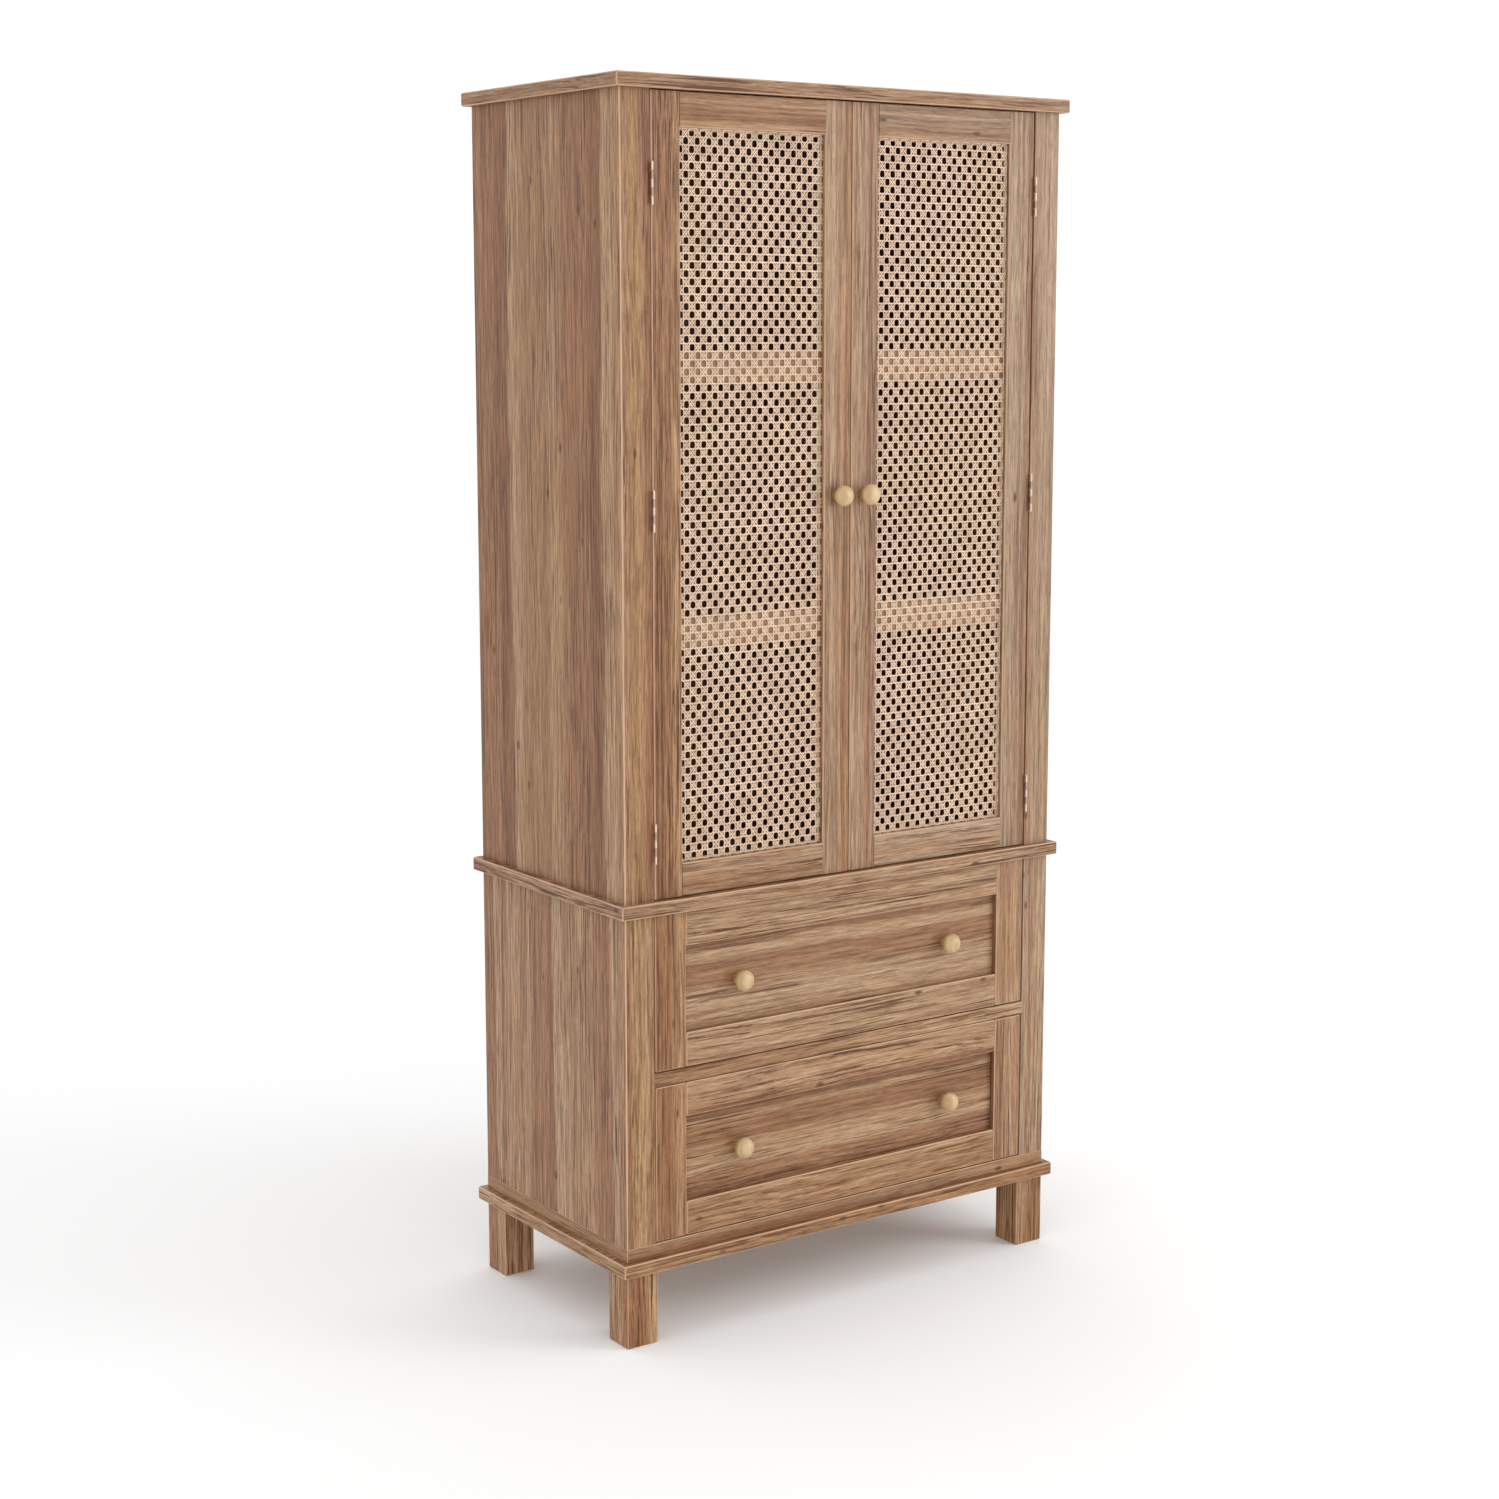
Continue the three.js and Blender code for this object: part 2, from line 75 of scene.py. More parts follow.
# ---- Node tree helper ----
class Tree:
    """Short names for the few node types that the materials use."""

    def __init__(self, tree):
        self.tree = tree

    def add(self, kind, **settings):
        node = self.tree.nodes.new(kind)
        for key, value in settings.items():
            setattr(node, key, value)
        return node

    def link(self, source, target):
        self.tree.links.new(source, target)

    def feed(self, socket, value):
        if isinstance(value, bpy.types.NodeSocket):
            self.link(value, socket)
        elif value is not None:
            socket.default_value = value

    def math(self, operation, a, b=None, c=None):
        node = self.add("ShaderNodeMath", operation=operation)
        for socket, value in zip(node.inputs, (a, b, c)):
            self.feed(socket, value)
        return node.outputs[0]

    def vector_math(self, operation, a, b=None):
        node = self.add("ShaderNodeVectorMath", operation=operation)
        for socket, value in zip(node.inputs, (a, b)):
            self.feed(socket, value)
        return node.outputs[0]

    def noise(self, vector, scale, detail=2.0, roughness=0.5, distortion=0.0):
        stretched = self.vector_math("MULTIPLY", vector, scale)
        node = self.add("ShaderNodeTexNoise")
        self.link(stretched, node.inputs["Vector"])
        node.inputs["Scale"].default_value = 1
        node.inputs["Detail"].default_value = detail
        node.inputs["Roughness"].default_value = roughness
        node.inputs["Distortion"].default_value = distortion
        return node.outputs["Fac"]

    def ramp(self, value, stops, smooth=False):
        """A colour ramp from (place, colour) stops; a number stands for a grey."""
        node = self.add("ShaderNodeValToRGB")
        node.color_ramp.interpolation = "EASE" if smooth else "LINEAR"
        elements = node.color_ramp.elements
        while len(elements) < len(stops):
            elements.new(0.5)
        for element, (place, colour) in zip(elements, stops):
            element.position = place
            if isinstance(colour, (int, float)):
                colour = (colour,) * 3
            element.color = (*colour, 1)
        self.link(value, node.inputs[0])
        return node.outputs[0]

    def mix(self, kind, factor, a, b, data="RGBA"):
        """Two colours mixed, or two vectors; a tuple stands for a colour."""
        node = self.add("ShaderNodeMix", data_type=data, blend_type=kind)
        self.feed(node.inputs["Factor"], factor)
        for name, value in (("A", a), ("B", b)):
            socket = [s for s in node.inputs if s.name == name and s.type == data][0]
            self.feed(socket, (*value, 1) if isinstance(value, tuple) else value)
        return [s for s in node.outputs if s.type == data][0]

    def tint(self, a, b):
        return self.mix("MULTIPLY", 1.0, a, b)

    def place(self):
        """The object coordinates, as three numbers."""
        split = self.add("ShaderNodeSeparateXYZ")
        self.link(self.add("ShaderNodeTexCoord").outputs["Object"], split.inputs[0])
        return split.outputs

    def grey(self, colour):
        node = self.add("ShaderNodeRGBToBW")
        self.link(colour, node.inputs[0])
        return node.outputs[0]


def new_material(name):
    material = bpy.data.materials.new(name)
    material.use_nodes = True
    tree = Tree(material.node_tree)
    return material, tree, material.node_tree.nodes["Principled BSDF"]


def bump(tree, shader, height, distance, strength=1.0):
    node = tree.add("ShaderNodeBump")
    node.inputs["Distance"].default_value = distance
    node.inputs["Strength"].default_value = strength
    tree.link(height, node.inputs["Height"])
    tree.link(node.outputs[0], shader.inputs["Normal"])


# ---- Wood ----
TURNS = {"X": (0, math.pi / 2, 0), "Y": (math.pi / 2, 0, 0), "Z": (0, 0, 0)}
TONES = {  # dark, red, brown, tan, light, ochre, pale
    "D": (0.235, 0.110, 0.052),
    "R": (0.282, 0.140, 0.070),
    "B": (0.308, 0.172, 0.090),
    "T": (0.358, 0.214, 0.119),
    "L": (0.393, 0.250, 0.149),
    "O": (0.361, 0.216, 0.101),
    # P, pale and greyish: among the free bands it is one more tone of the wood; laid on the right-hand
    # pieces it also stands in for the light's sheen there, as painted sheen.
    "P": (0.340, 0.224, 0.145),
}
STREAK_TONE = (0.100, 0.038, 0.012)  # of the thin dark lines and the knots
EDGE_HIGHLIGHT_TONE = (0.70, 0.44, 0.29)  # of the painted highlight on an eased edge, where it catches the light
SHADED_TINT = (0.76, 0.70, 0.66)  # of the inner faces of a recess

# Noise scales for each metre: twice across the grain, then along it.
WANDER_SCALE = (5, 5, 2.2)
BAND_EDGE_SCALE = (120, 120, 6)
FREE_BAND_SCALE = (14, 14, 0.5)
KNOT_SCALE = (34, 34, 14)
DRIFT_SCALE = (7, 7, 2.4)
LANE_SCALE = (170, 170, 1.6)
RAGGED_SCALE = (340, 340, 11)
STREAK_SCALE = (340, 340, 6)
CLUSTER_SCALE = (22, 22, 2.6)
CRACK_SCALE = (360, 360, 3.4)
CRACK_PLACE_SCALE = (12, 12, 1.8)
FIBRE_SCALE = (620, 620, 42)

BAND_BLEND = (0.30, 0.70)  # the part of a step over which one tone gives way to the next
DRIFT = 20 * MM  # how far the whole grain strays from straight
DEEP_PARTS = (0.25, 0.35, 0.44)  # what the darkest ragged streaks take away, of each colour
HALF_PARTS = (0.07, 0.10, 0.13)  # what the middling ones do
BRIGHT_PARTS = (0.16, 0.19, 0.21)  # what the palest ones add
STREAK_COVER = 0.85
MOST_COVER = 0.97
KNOT_COVER = 0.92
KNOT_RARITY = 0.62  # a cell holds a knot if its random grey is above this
SIDE_SEED = 100  # added for the side grain
SIDEWAYS = 0.6  # a face whose normal has more than this along X takes the side grain
SQUARE_ON = 0.95
EASED = 0.93  # no part of an eased edge's normal is as large as this


def grain_vector(tree, axis, seed):
    """Object coordinates turned so that the grain runs along Z, moved to a place that the seed picks."""
    source = tree.add("ShaderNodeTexCoord").outputs["Object"]
    shuffled = random.Random(seed)
    mapping = tree.add("ShaderNodeMapping", vector_type="POINT")
    mapping.inputs["Rotation"].default_value = TURNS[axis]
    mapping.inputs["Location"].default_value = [shuffled.uniform(3, 40) for _ in range(3)]
    tree.link(source, mapping.inputs["Vector"])
    return mapping.outputs[0]


def object_normal(tree):
    """The sizes of the object-space normal's three parts."""
    split = tree.add("ShaderNodeSeparateXYZ")
    tree.link(tree.add("ShaderNodeTexCoord").outputs["Normal"], split.inputs[0])
    return [tree.math("ABSOLUTE", part) for part in split.outputs]


def band_layout(box, axis, letters):
    """Where a piece's tone bands lie: the axis they follow, its two ends, and a tone for each step."""
    i = "XYZ".index(axis)
    return i, box[0][i], box[1][i], letters


def laid_bands(tree, vector, layout):
    """Broad bands with fairly crisp, slightly wandering edges, one for each letter of the layout."""
    i, low, high, letters = layout
    width = high - low
    wander = tree.math("SUBTRACT", tree.noise(vector, WANDER_SCALE), 0.5)
    ragged = tree.math("SUBTRACT", tree.noise(vector, BAND_EDGE_SCALE, detail=3, roughness=0.6), 0.5)
    place = tree.math("MULTIPLY_ADD", wander, 0.05 * width + 12 * MM, tree.place()[i])
    place = tree.math("MULTIPLY_ADD", ragged, 0.02 * width + 6 * MM, place)
    steps = len(letters)
    step = tree.math("MULTIPLY_ADD", place, steps / width, -low * steps / width - 0.5)
    within = tree.add("ShaderNodeMapRange", interpolation_type="SMOOTHSTEP")
    within.inputs["From Min"].default_value = BAND_BLEND[0]
    within.inputs["From Max"].default_value = BAND_BLEND[1]
    tree.link(tree.math("FRACT", step), within.inputs["Value"])
    spot = tree.math("ADD", tree.math("FLOOR", step), within.outputs[0])
    spot = tree.math("MULTIPLY_ADD", spot, 1 / steps, 0.5 / steps)
    return tree.ramp(spot, [((k + 0.5) / steps, TONES[letter]) for k, letter in enumerate(letters)])


FREE_BANDS = (  # where the noise takes each tone
    (0.30, "D"), (0.40, "R"), (0.455, "B"), (0.475, "T"),
    (0.54, "L"), (0.59, "P"), (0.61, "B"), (0.70, "R"),
)


def free_bands(tree, vector):
    """Broad bands that fall where noise puts them."""
    bands = tree.noise(vector, FREE_BAND_SCALE, detail=1.5, roughness=0.45)
    return tree.ramp(bands, [(place, TONES[letter]) for place, letter in FREE_BANDS])


def knots(tree, vector):
    """Small dark knots, a few on each board."""
    cells = tree.add("ShaderNodeTexVoronoi", feature="F1")
    tree.link(tree.vector_math("MULTIPLY", vector, KNOT_SCALE), cells.inputs["Vector"])
    cells.inputs["Scale"].default_value = 1
    rare = tree.math("GREATER_THAN", tree.grey(cells.outputs["Color"]), KNOT_RARITY)
    round_spot = tree.ramp(cells.outputs["Distance"], [(0.06, 1.0), (0.13, 0.0)])
    return tree.math("MULTIPLY", rare, round_spot)


def wood(name, axis, seed, layout, tint, streaks, side_axis=None, edge=0.4, roughness=0.44, shaded=None):
    """Satin veneer: broad tone bands, ragged streaks, short dark lines, fibres and small knots, and a
    painted highlight on the eased edges.

    side_axis is the grain's direction on the faces that look along X, where an edge band turns the
    corner. edge says how strong the painted highlight on the eased edges is. shaded names the axis that
    the inner faces of a recess look along, which take painted shade."""
    material, tree, shader = new_material(name)
    facing = object_normal(tree)
    vector = grain_vector(tree, axis, seed)
    if side_axis:
        turned = grain_vector(tree, side_axis, seed + SIDE_SEED)
        sideways = tree.math("GREATER_THAN", facing[0], SIDEWAYS)
        vector = tree.mix("MIX", sideways, vector, turned, "VECTOR")
    drift = tree.noise(vector, DRIFT_SCALE)
    drift = tree.math("MULTIPLY", tree.math("SUBTRACT", drift, 0.5), DRIFT)
    shift = tree.add("ShaderNodeCombineXYZ")
    tree.link(drift, shift.inputs[0])
    tree.link(drift, shift.inputs[1])
    vector = tree.vector_math("ADD", vector, shift.outputs[0])
    base = laid_bands(tree, vector, layout) if layout else free_bands(tree, vector)

    lanes = tree.noise(vector, LANE_SCALE)
    lanes = tree.ramp(lanes, [(0.36, (0.84, 0.80, 0.76)), (0.50, 1.0), (0.64, 1.09)])
    base = tree.tint(base, lanes)
    ragged = tree.noise(vector, RAGGED_SCALE, detail=4, roughness=0.75)
    deep = tuple(1 - part * streaks for part in DEEP_PARTS)
    half = tuple(1 - part * streaks for part in HALF_PARTS)
    bright = tuple(1 + part * streaks for part in BRIGHT_PARTS)
    tones = tree.ramp(ragged, [(0.385, deep), (0.455, half), (0.505, 1.0), (0.60, bright)])
    base = tree.tint(base, tones)

    short = tree.noise(vector, STREAK_SCALE, detail=4, roughness=0.62)
    clusters = tree.ramp(tree.noise(vector, CLUSTER_SCALE), [(0.46, 0.0), (0.56, 1.0)])
    streak = tree.math("MULTIPLY", tree.ramp(short, [(0.410, 1.0), (0.445, 0.0)]), clusters)
    cracks = tree.ramp(tree.noise(vector, CRACK_SCALE), [(0.362, 1.0), (0.382, 0.0)])
    places = tree.ramp(tree.noise(vector, CRACK_PLACE_SCALE), [(0.47, 0.0), (0.53, 1.0)])
    streak = tree.math("MAXIMUM", streak, tree.math("MULTIPLY", cracks, places))
    cover = tree.math("MULTIPLY", streak, min(STREAK_COVER * streaks, MOST_COVER))
    base = tree.mix("MIX", cover, base, STREAK_TONE)
    fibres = tree.noise(vector, FIBRE_SCALE, detail=3, roughness=0.7)
    fine = tree.ramp(fibres, [(0.40, (0.80, 0.77, 0.74)), (0.50, 1.0), (0.60, 1.16)])
    base = tree.tint(base, fine)
    base = tree.mix("MIX", tree.math("MULTIPLY", knots(tree, vector), KNOT_COVER), base, STREAK_TONE)

    base = tree.tint(base, tint)
    if shaded:
        inner = tree.math("GREATER_THAN", facing["XYZ".index(shaded)], SQUARE_ON)
        base = tree.mix("MULTIPLY", inner, base, SHADED_TINT)
    # Painted highlight: the eased edges are lightened toward the edge highlight tone, as if they caught
    # the light.
    widest = tree.math("MAXIMUM", tree.math("MAXIMUM", facing[0], facing[1]), facing[2])
    eased = tree.math("MULTIPLY", tree.math("LESS_THAN", widest, EASED), edge)
    edge_highlight = tree.tint(tree.ramp(ragged, [(0.25, 0.80), (0.75, 1.10)]), EDGE_HIGHLIGHT_TONE)
    base = tree.mix("MIX", eased, base, edge_highlight)
    tree.link(base, shader.inputs["Base Color"])
    tree.link(tree.math("MULTIPLY_ADD", fibres, -0.20, roughness + 0.10), shader.inputs["Roughness"])
    shader.inputs["Specular IOR Level"].default_value = 0.3
    relief = tree.math("MULTIPLY_ADD", fibres, 0.5, tree.math("MULTIPLY", ragged, 0.5))
    relief = tree.math("MULTIPLY_ADD", streak, -0.5, relief)
    bump(tree, shader, relief, 0.0004, 0.45)
    return material


BEECH = ((0.50, 0.34, 0.19), (0.62, 0.45, 0.28))  # the dark and the light tone
RATTAN = ((0.50, 0.33, 0.18), (0.70, 0.51, 0.31))
CROSS_RAIL = ((0.21, 0.106, 0.044), (0.31, 0.173, 0.078))
PLAIN_ROUGHNESS = 0.6


def plain_wood(name, axis, seed, tones, fine=400):
    """Solid timber with close straight grain, for cross rails, runners, guides and splines."""
    material, tree, shader = new_material(name)
    vector = grain_vector(tree, axis, seed)
    rings = tree.noise(vector, (55, 55, 3), detail=3, roughness=0.55, distortion=0.4)
    base = tree.ramp(rings, [(0.32, tones[0]), (0.66, tones[1])])
    fibres = tree.noise(vector, (fine, fine, fine / 30), detail=3, roughness=0.6)
    shades = tree.ramp(fibres, [(0.28, 0.84), (0.55, 1.0), (0.75, 1.07)])
    base = tree.tint(base, shades)
    tree.link(base, shader.inputs["Base Color"])
    tree.link(tree.math("MULTIPLY_ADD", fibres, -0.2, PLAIN_ROUGHNESS + 0.1), shader.inputs["Roughness"])
    shader.inputs["Specular IOR Level"].default_value = 0.4
    bump(tree, shader, fibres, 0.0002, 0.5)
    return material


KNOB_TONES = ((0.47, 0.305, 0.14), (0.62, 0.44, 0.235))
KNOB_NECK_SHADE = (  # painted shade on the neck, from the foot of a knob, as parts of its length, to the front of its ball
    (0.0, (0.60, 0.46, 0.34)),
    (0.26, (0.76, 0.66, 0.56)),
    (0.55, 1.0),
)
RING_SCALE = 700


def turned_wood(name, seed, low, high):
    """Lacquered beech on a turned knob: close grain, faint rings round the axis, and painted shade that
    darkens the neck.
    """
    material, tree, shader = new_material(name)
    vector = grain_vector(tree, "Z", seed)
    close = tree.noise(vector, (90, 90, 6), detail=3, roughness=0.55, distortion=0.4)
    base = tree.ramp(close, [(0.36, KNOB_TONES[0]), (0.62, KNOB_TONES[1])])
    place = tree.place()
    aside = tree.math("SUBTRACT", place[0], (low[0] + high[0]) / 2)
    above = tree.math("SUBTRACT", place[2], (low[2] + high[2]) / 2)
    squares = tree.math("MULTIPLY_ADD", aside, aside, tree.math("MULTIPLY", above, above))
    radius = tree.math("SQRT", squares)
    spread = tree.add("ShaderNodeCombineXYZ")
    tree.link(radius, spread.inputs[0])
    rings = tree.noise(spread.outputs[0], (RING_SCALE,) * 3)
    base = tree.tint(base, tree.ramp(rings, [(0.35, 0.90), (0.65, 1.05)]))
    # Painted shade: the knob darkens from its ball toward its foot.
    length = high[1] - low[1]
    out = tree.math("MULTIPLY_ADD", place[1], -1 / length, high[1] / length)
    base = tree.tint(base, tree.ramp(out, KNOB_NECK_SHADE, smooth=True))
    tree.link(base, shader.inputs["Base Color"])
    tree.link(tree.math("MULTIPLY_ADD", close, 0.15, 0.28), shader.inputs["Roughness"])
    bump(tree, shader, rings, 0.00006, 0.5)
    return material


PLY_PAIR = 2.7 * MM  # one pale and one dark ply
PLY_FACE = ((0.34, (0.50, 0.35, 0.21)), (0.50, (0.62, 0.46, 0.30)), (0.64, (0.70, 0.55, 0.38)))
PLY_PALE = (0.60, 0.44, 0.28)
PLY_DARK = (0.30, 0.17, 0.085)


def plywood(name, axis, seed, thin, low):
    """Birch plywood: pale close-grained faces, with the plies as stripes along the edges."""
    material, tree, shader = new_material(name)
    vector = grain_vector(tree, axis, seed)
    i = "XYZ".index(thin)
    rings = tree.noise(vector, (38, 38, 2.2), detail=4, roughness=0.6, distortion=0.6)
    face = tree.ramp(rings, PLY_FACE)
    fibres = tree.noise(vector, (420, 420, 14), detail=3, roughness=0.6)
    shades = tree.ramp(fibres, [(0.35, 0.84), (0.52, 1.0), (0.68, 1.06)])
    face = tree.tint(face, shades)
    depth = tree.math("MULTIPLY_ADD", tree.place()[i], 1 / PLY_PAIR, -low / PLY_PAIR)
    stops = [(0.46, PLY_PALE), (0.52, PLY_DARK), (0.94, PLY_DARK), (1.0, PLY_PALE)]
    plies = tree.ramp(tree.math("FRACT", depth), stops)
    base = tree.mix("MIX", tree.math("LESS_THAN", object_normal(tree)[i], 0.5), face, plies)
    tree.link(base, shader.inputs["Base Color"])
    tree.link(tree.math("MULTIPLY_ADD", fibres, -0.15, 0.66), shader.inputs["Roughness"])
    shader.inputs["Specular IOR Level"].default_value = 0.35
    bump(tree, shader, fibres, 0.0002, 0.5)
    return material


# ---- Other materials ----
CANE_TONES = ((0.0, (0.64, 0.415, 0.27)), (0.45, (0.80, 0.565, 0.395)), (1.0, (0.92, 0.70, 0.52)))


def cane_material(name, across):
    """Split cane: cream skin, a tone of its own for each strand, faint lengthwise fibres."""
    material, tree, shader = new_material(name)
    tone = tree.add("ShaderNodeAttribute", attribute_name="tone").outputs["Fac"]
    base = tree.ramp(tone, CANE_TONES)
    vector = tree.add("ShaderNodeTexCoord").outputs["Object"]
    mottle = tree.noise(vector, (55, 55, 55), detail=3)
    shades = tree.ramp(mottle, [(0.3, 0.86), (0.5, 1.0), (0.7, 1.06)])
    base = tree.tint(base, shades)
    fibres = tree.noise(vector, across)
    base = tree.tint(base, tree.ramp(fibres, [(0.3, 0.90), (0.6, 1.0)]))
    tree.link(base, shader.inputs["Base Color"])
    tree.link(tree.math("MULTIPLY_ADD", mottle, 0.2, 0.38), shader.inputs["Roughness"])
    bump(tree, shader, fibres, 0.0001, 0.5)
    return material


def metal(name, colour, roughness):
    material, tree, shader = new_material(name)
    vector = tree.add("ShaderNodeTexCoord").outputs["Object"]
    brushed = tree.noise(vector, (1500, 1500, 90))
    smudge = tree.noise(vector, (60, 60, 60))
    base = tree.tint(tree.ramp(smudge, [(0.3, 0.88), (0.7, 1.0)]), colour)
    tree.link(base, shader.inputs["Base Color"])
    shader.inputs["Metallic"].default_value = 1
    tree.link(tree.math("MULTIPLY_ADD", brushed, 0.25, roughness - 0.1), shader.inputs["Roughness"])
    bump(tree, shader, brushed, 0.00005, 0.4)
    return material


def plastic(name, colour):
    material, tree, shader = new_material(name)
    vector = tree.add("ShaderNodeTexCoord").outputs["Object"]
    speckle = tree.noise(vector, (900, 900, 900))
    base = tree.tint(tree.ramp(speckle, [(0.3, 0.85), (0.7, 1.1)]), colour)
    tree.link(base, shader.inputs["Base Color"])
    tree.link(tree.math("MULTIPLY_ADD", speckle, 0.2, 0.45), shader.inputs["Roughness"])
    bump(tree, shader, speckle, 0.0001, 0.6)
    return material


# ---- Mesh helpers ----
def give(piece, material):
    piece.data.materials.clear()
    piece.data.materials.append(material)


def new_piece(name, mesh, body, slot, material, *replaced):
    piece = bpy.data.objects.new(name, mesh)
    bpy.context.collection.objects.link(piece)
    mesh.materials.append(material)
    if replaced:
        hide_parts(*replaced)
    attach(piece, body)
    return piece


def from_bmesh(name, work):
    mesh = bpy.data.meshes.new(name)
    work.to_mesh(mesh)
    work.free()
    return mesh


def add_board(work, low, high, ease):
    """A board between two corners, with every edge eased."""
    made = bmesh.ops.create_cube(work, size=1)["verts"]
    size = Vector(high) - Vector(low)
    middle = (Vector(high) + Vector(low)) / 2
    for vertex in made:
        vertex.co = Vector(a * b for a, b in zip(vertex.co, size)) + middle
    edges = list({edge for vertex in made for edge in vertex.link_edges})
    bmesh.ops.bevel(work, geom=edges, offset=ease, segments=1, affect="EDGES", profile=0.5)


def boards_mesh(name, boards, ease):
    work = bmesh.new()
    for low, high in boards:
        add_board(work, low, high, ease)
    bmesh.ops.recalc_face_normals(work, faces=work.faces)
    return from_bmesh(name, work)


def add_turned(work, profile, place, toward, segments):
    """A profile of (radius, height) turned round an axis that starts at place and runs along toward."""
    toward = Vector(toward).normalized()
    across = toward.orthogonal().normalized()
    third = toward.cross(across)
    rings = []
    for radius, height in profile:
        centre = Vector(place) + toward * height
        if radius < 1e-7:
            rings.append([work.verts.new(centre)])
            continue
        angles = [2 * math.pi * i / segments for i in range(segments)]
        ring = [centre + radius * (math.cos(a) * across + math.sin(a) * third) for a in angles]
        rings.append([work.verts.new(point) for point in ring])
    for lower, upper in zip(rings, rings[1:]):
        for i in range(segments):
            j = (i + 1) % segments
            corners = [lower[i % len(lower)], lower[j % len(lower)]]
            corners += [upper[j % len(upper)], upper[i % len(upper)]]
            face = work.faces.new(list(dict.fromkeys(corners)))
            face.smooth = True


def turned_mesh(name, profile, places, toward, segments=48):
    work = bmesh.new()
    for place in places:
        add_turned(work, profile, place, toward, segments)
    bmesh.ops.recalc_face_normals(work, faces=work.faces)
    return from_bmesh(name, work)


RECESS_ARM = 0.62  # half the length of a screw's cross recess, as a part of the head's radius
RECESS_HALF = 0.16  # half the width of its arms
RECESS_FLOOR = 0.2  # the height of its floor, as a part of the head's
SCREW_CROWN = 0.88  # the radius of the head's flat top


def screws_mesh(name, places, toward, radius, rise):
    """Low screw heads with a cross recess, whose floor takes the mesh's second material."""
    toward = Vector(toward)
    across = toward.orthogonal().normalized()
    third = toward.cross(across)
    arm, half = RECESS_ARM * radius, RECESS_HALF * radius
    quarter = [(arm, -half), (arm, half), (half, half)]
    cross = quarter + [(-v, u) for u, v in quarter]
    cross += [(-u, -v) for u, v in cross]
    circle = [(math.cos(math.pi * i / 12), math.sin(math.pi * i / 12)) for i in range(24)]
    work = bmesh.new()

    def loop(points, height, place):
        spots = [Vector(place) + u * across + v * third + height * toward for u, v in points]
        return [work.verts.new(spot) for spot in spots]

    def wall(first, second):
        for i in range(len(first)):
            work.faces.new((first[i - 1], first[i], second[i], second[i - 1]))

    def around(ring):
        return [work.edges.get((ring[i - 1], ring[i])) for i in range(len(ring))]

    for place in places:
        rim = loop([(radius * u, radius * v) for u, v in circle], 0, place)
        flat = SCREW_CROWN * radius
        crown = loop([(flat * u, flat * v) for u, v in circle], rise, place)
        mouth = loop(cross, rise, place)
        pit = loop(cross, RECESS_FLOOR * rise, place)
        wall(rim, crown)
        wall(mouth, pit)
        bmesh.ops.triangle_fill(work, use_beauty=True, edges=around(crown) + around(mouth))
        work.faces.new(pit).material_index = 1
    bmesh.ops.recalc_face_normals(work, faces=work.faces)
    return from_bmesh(name, work)
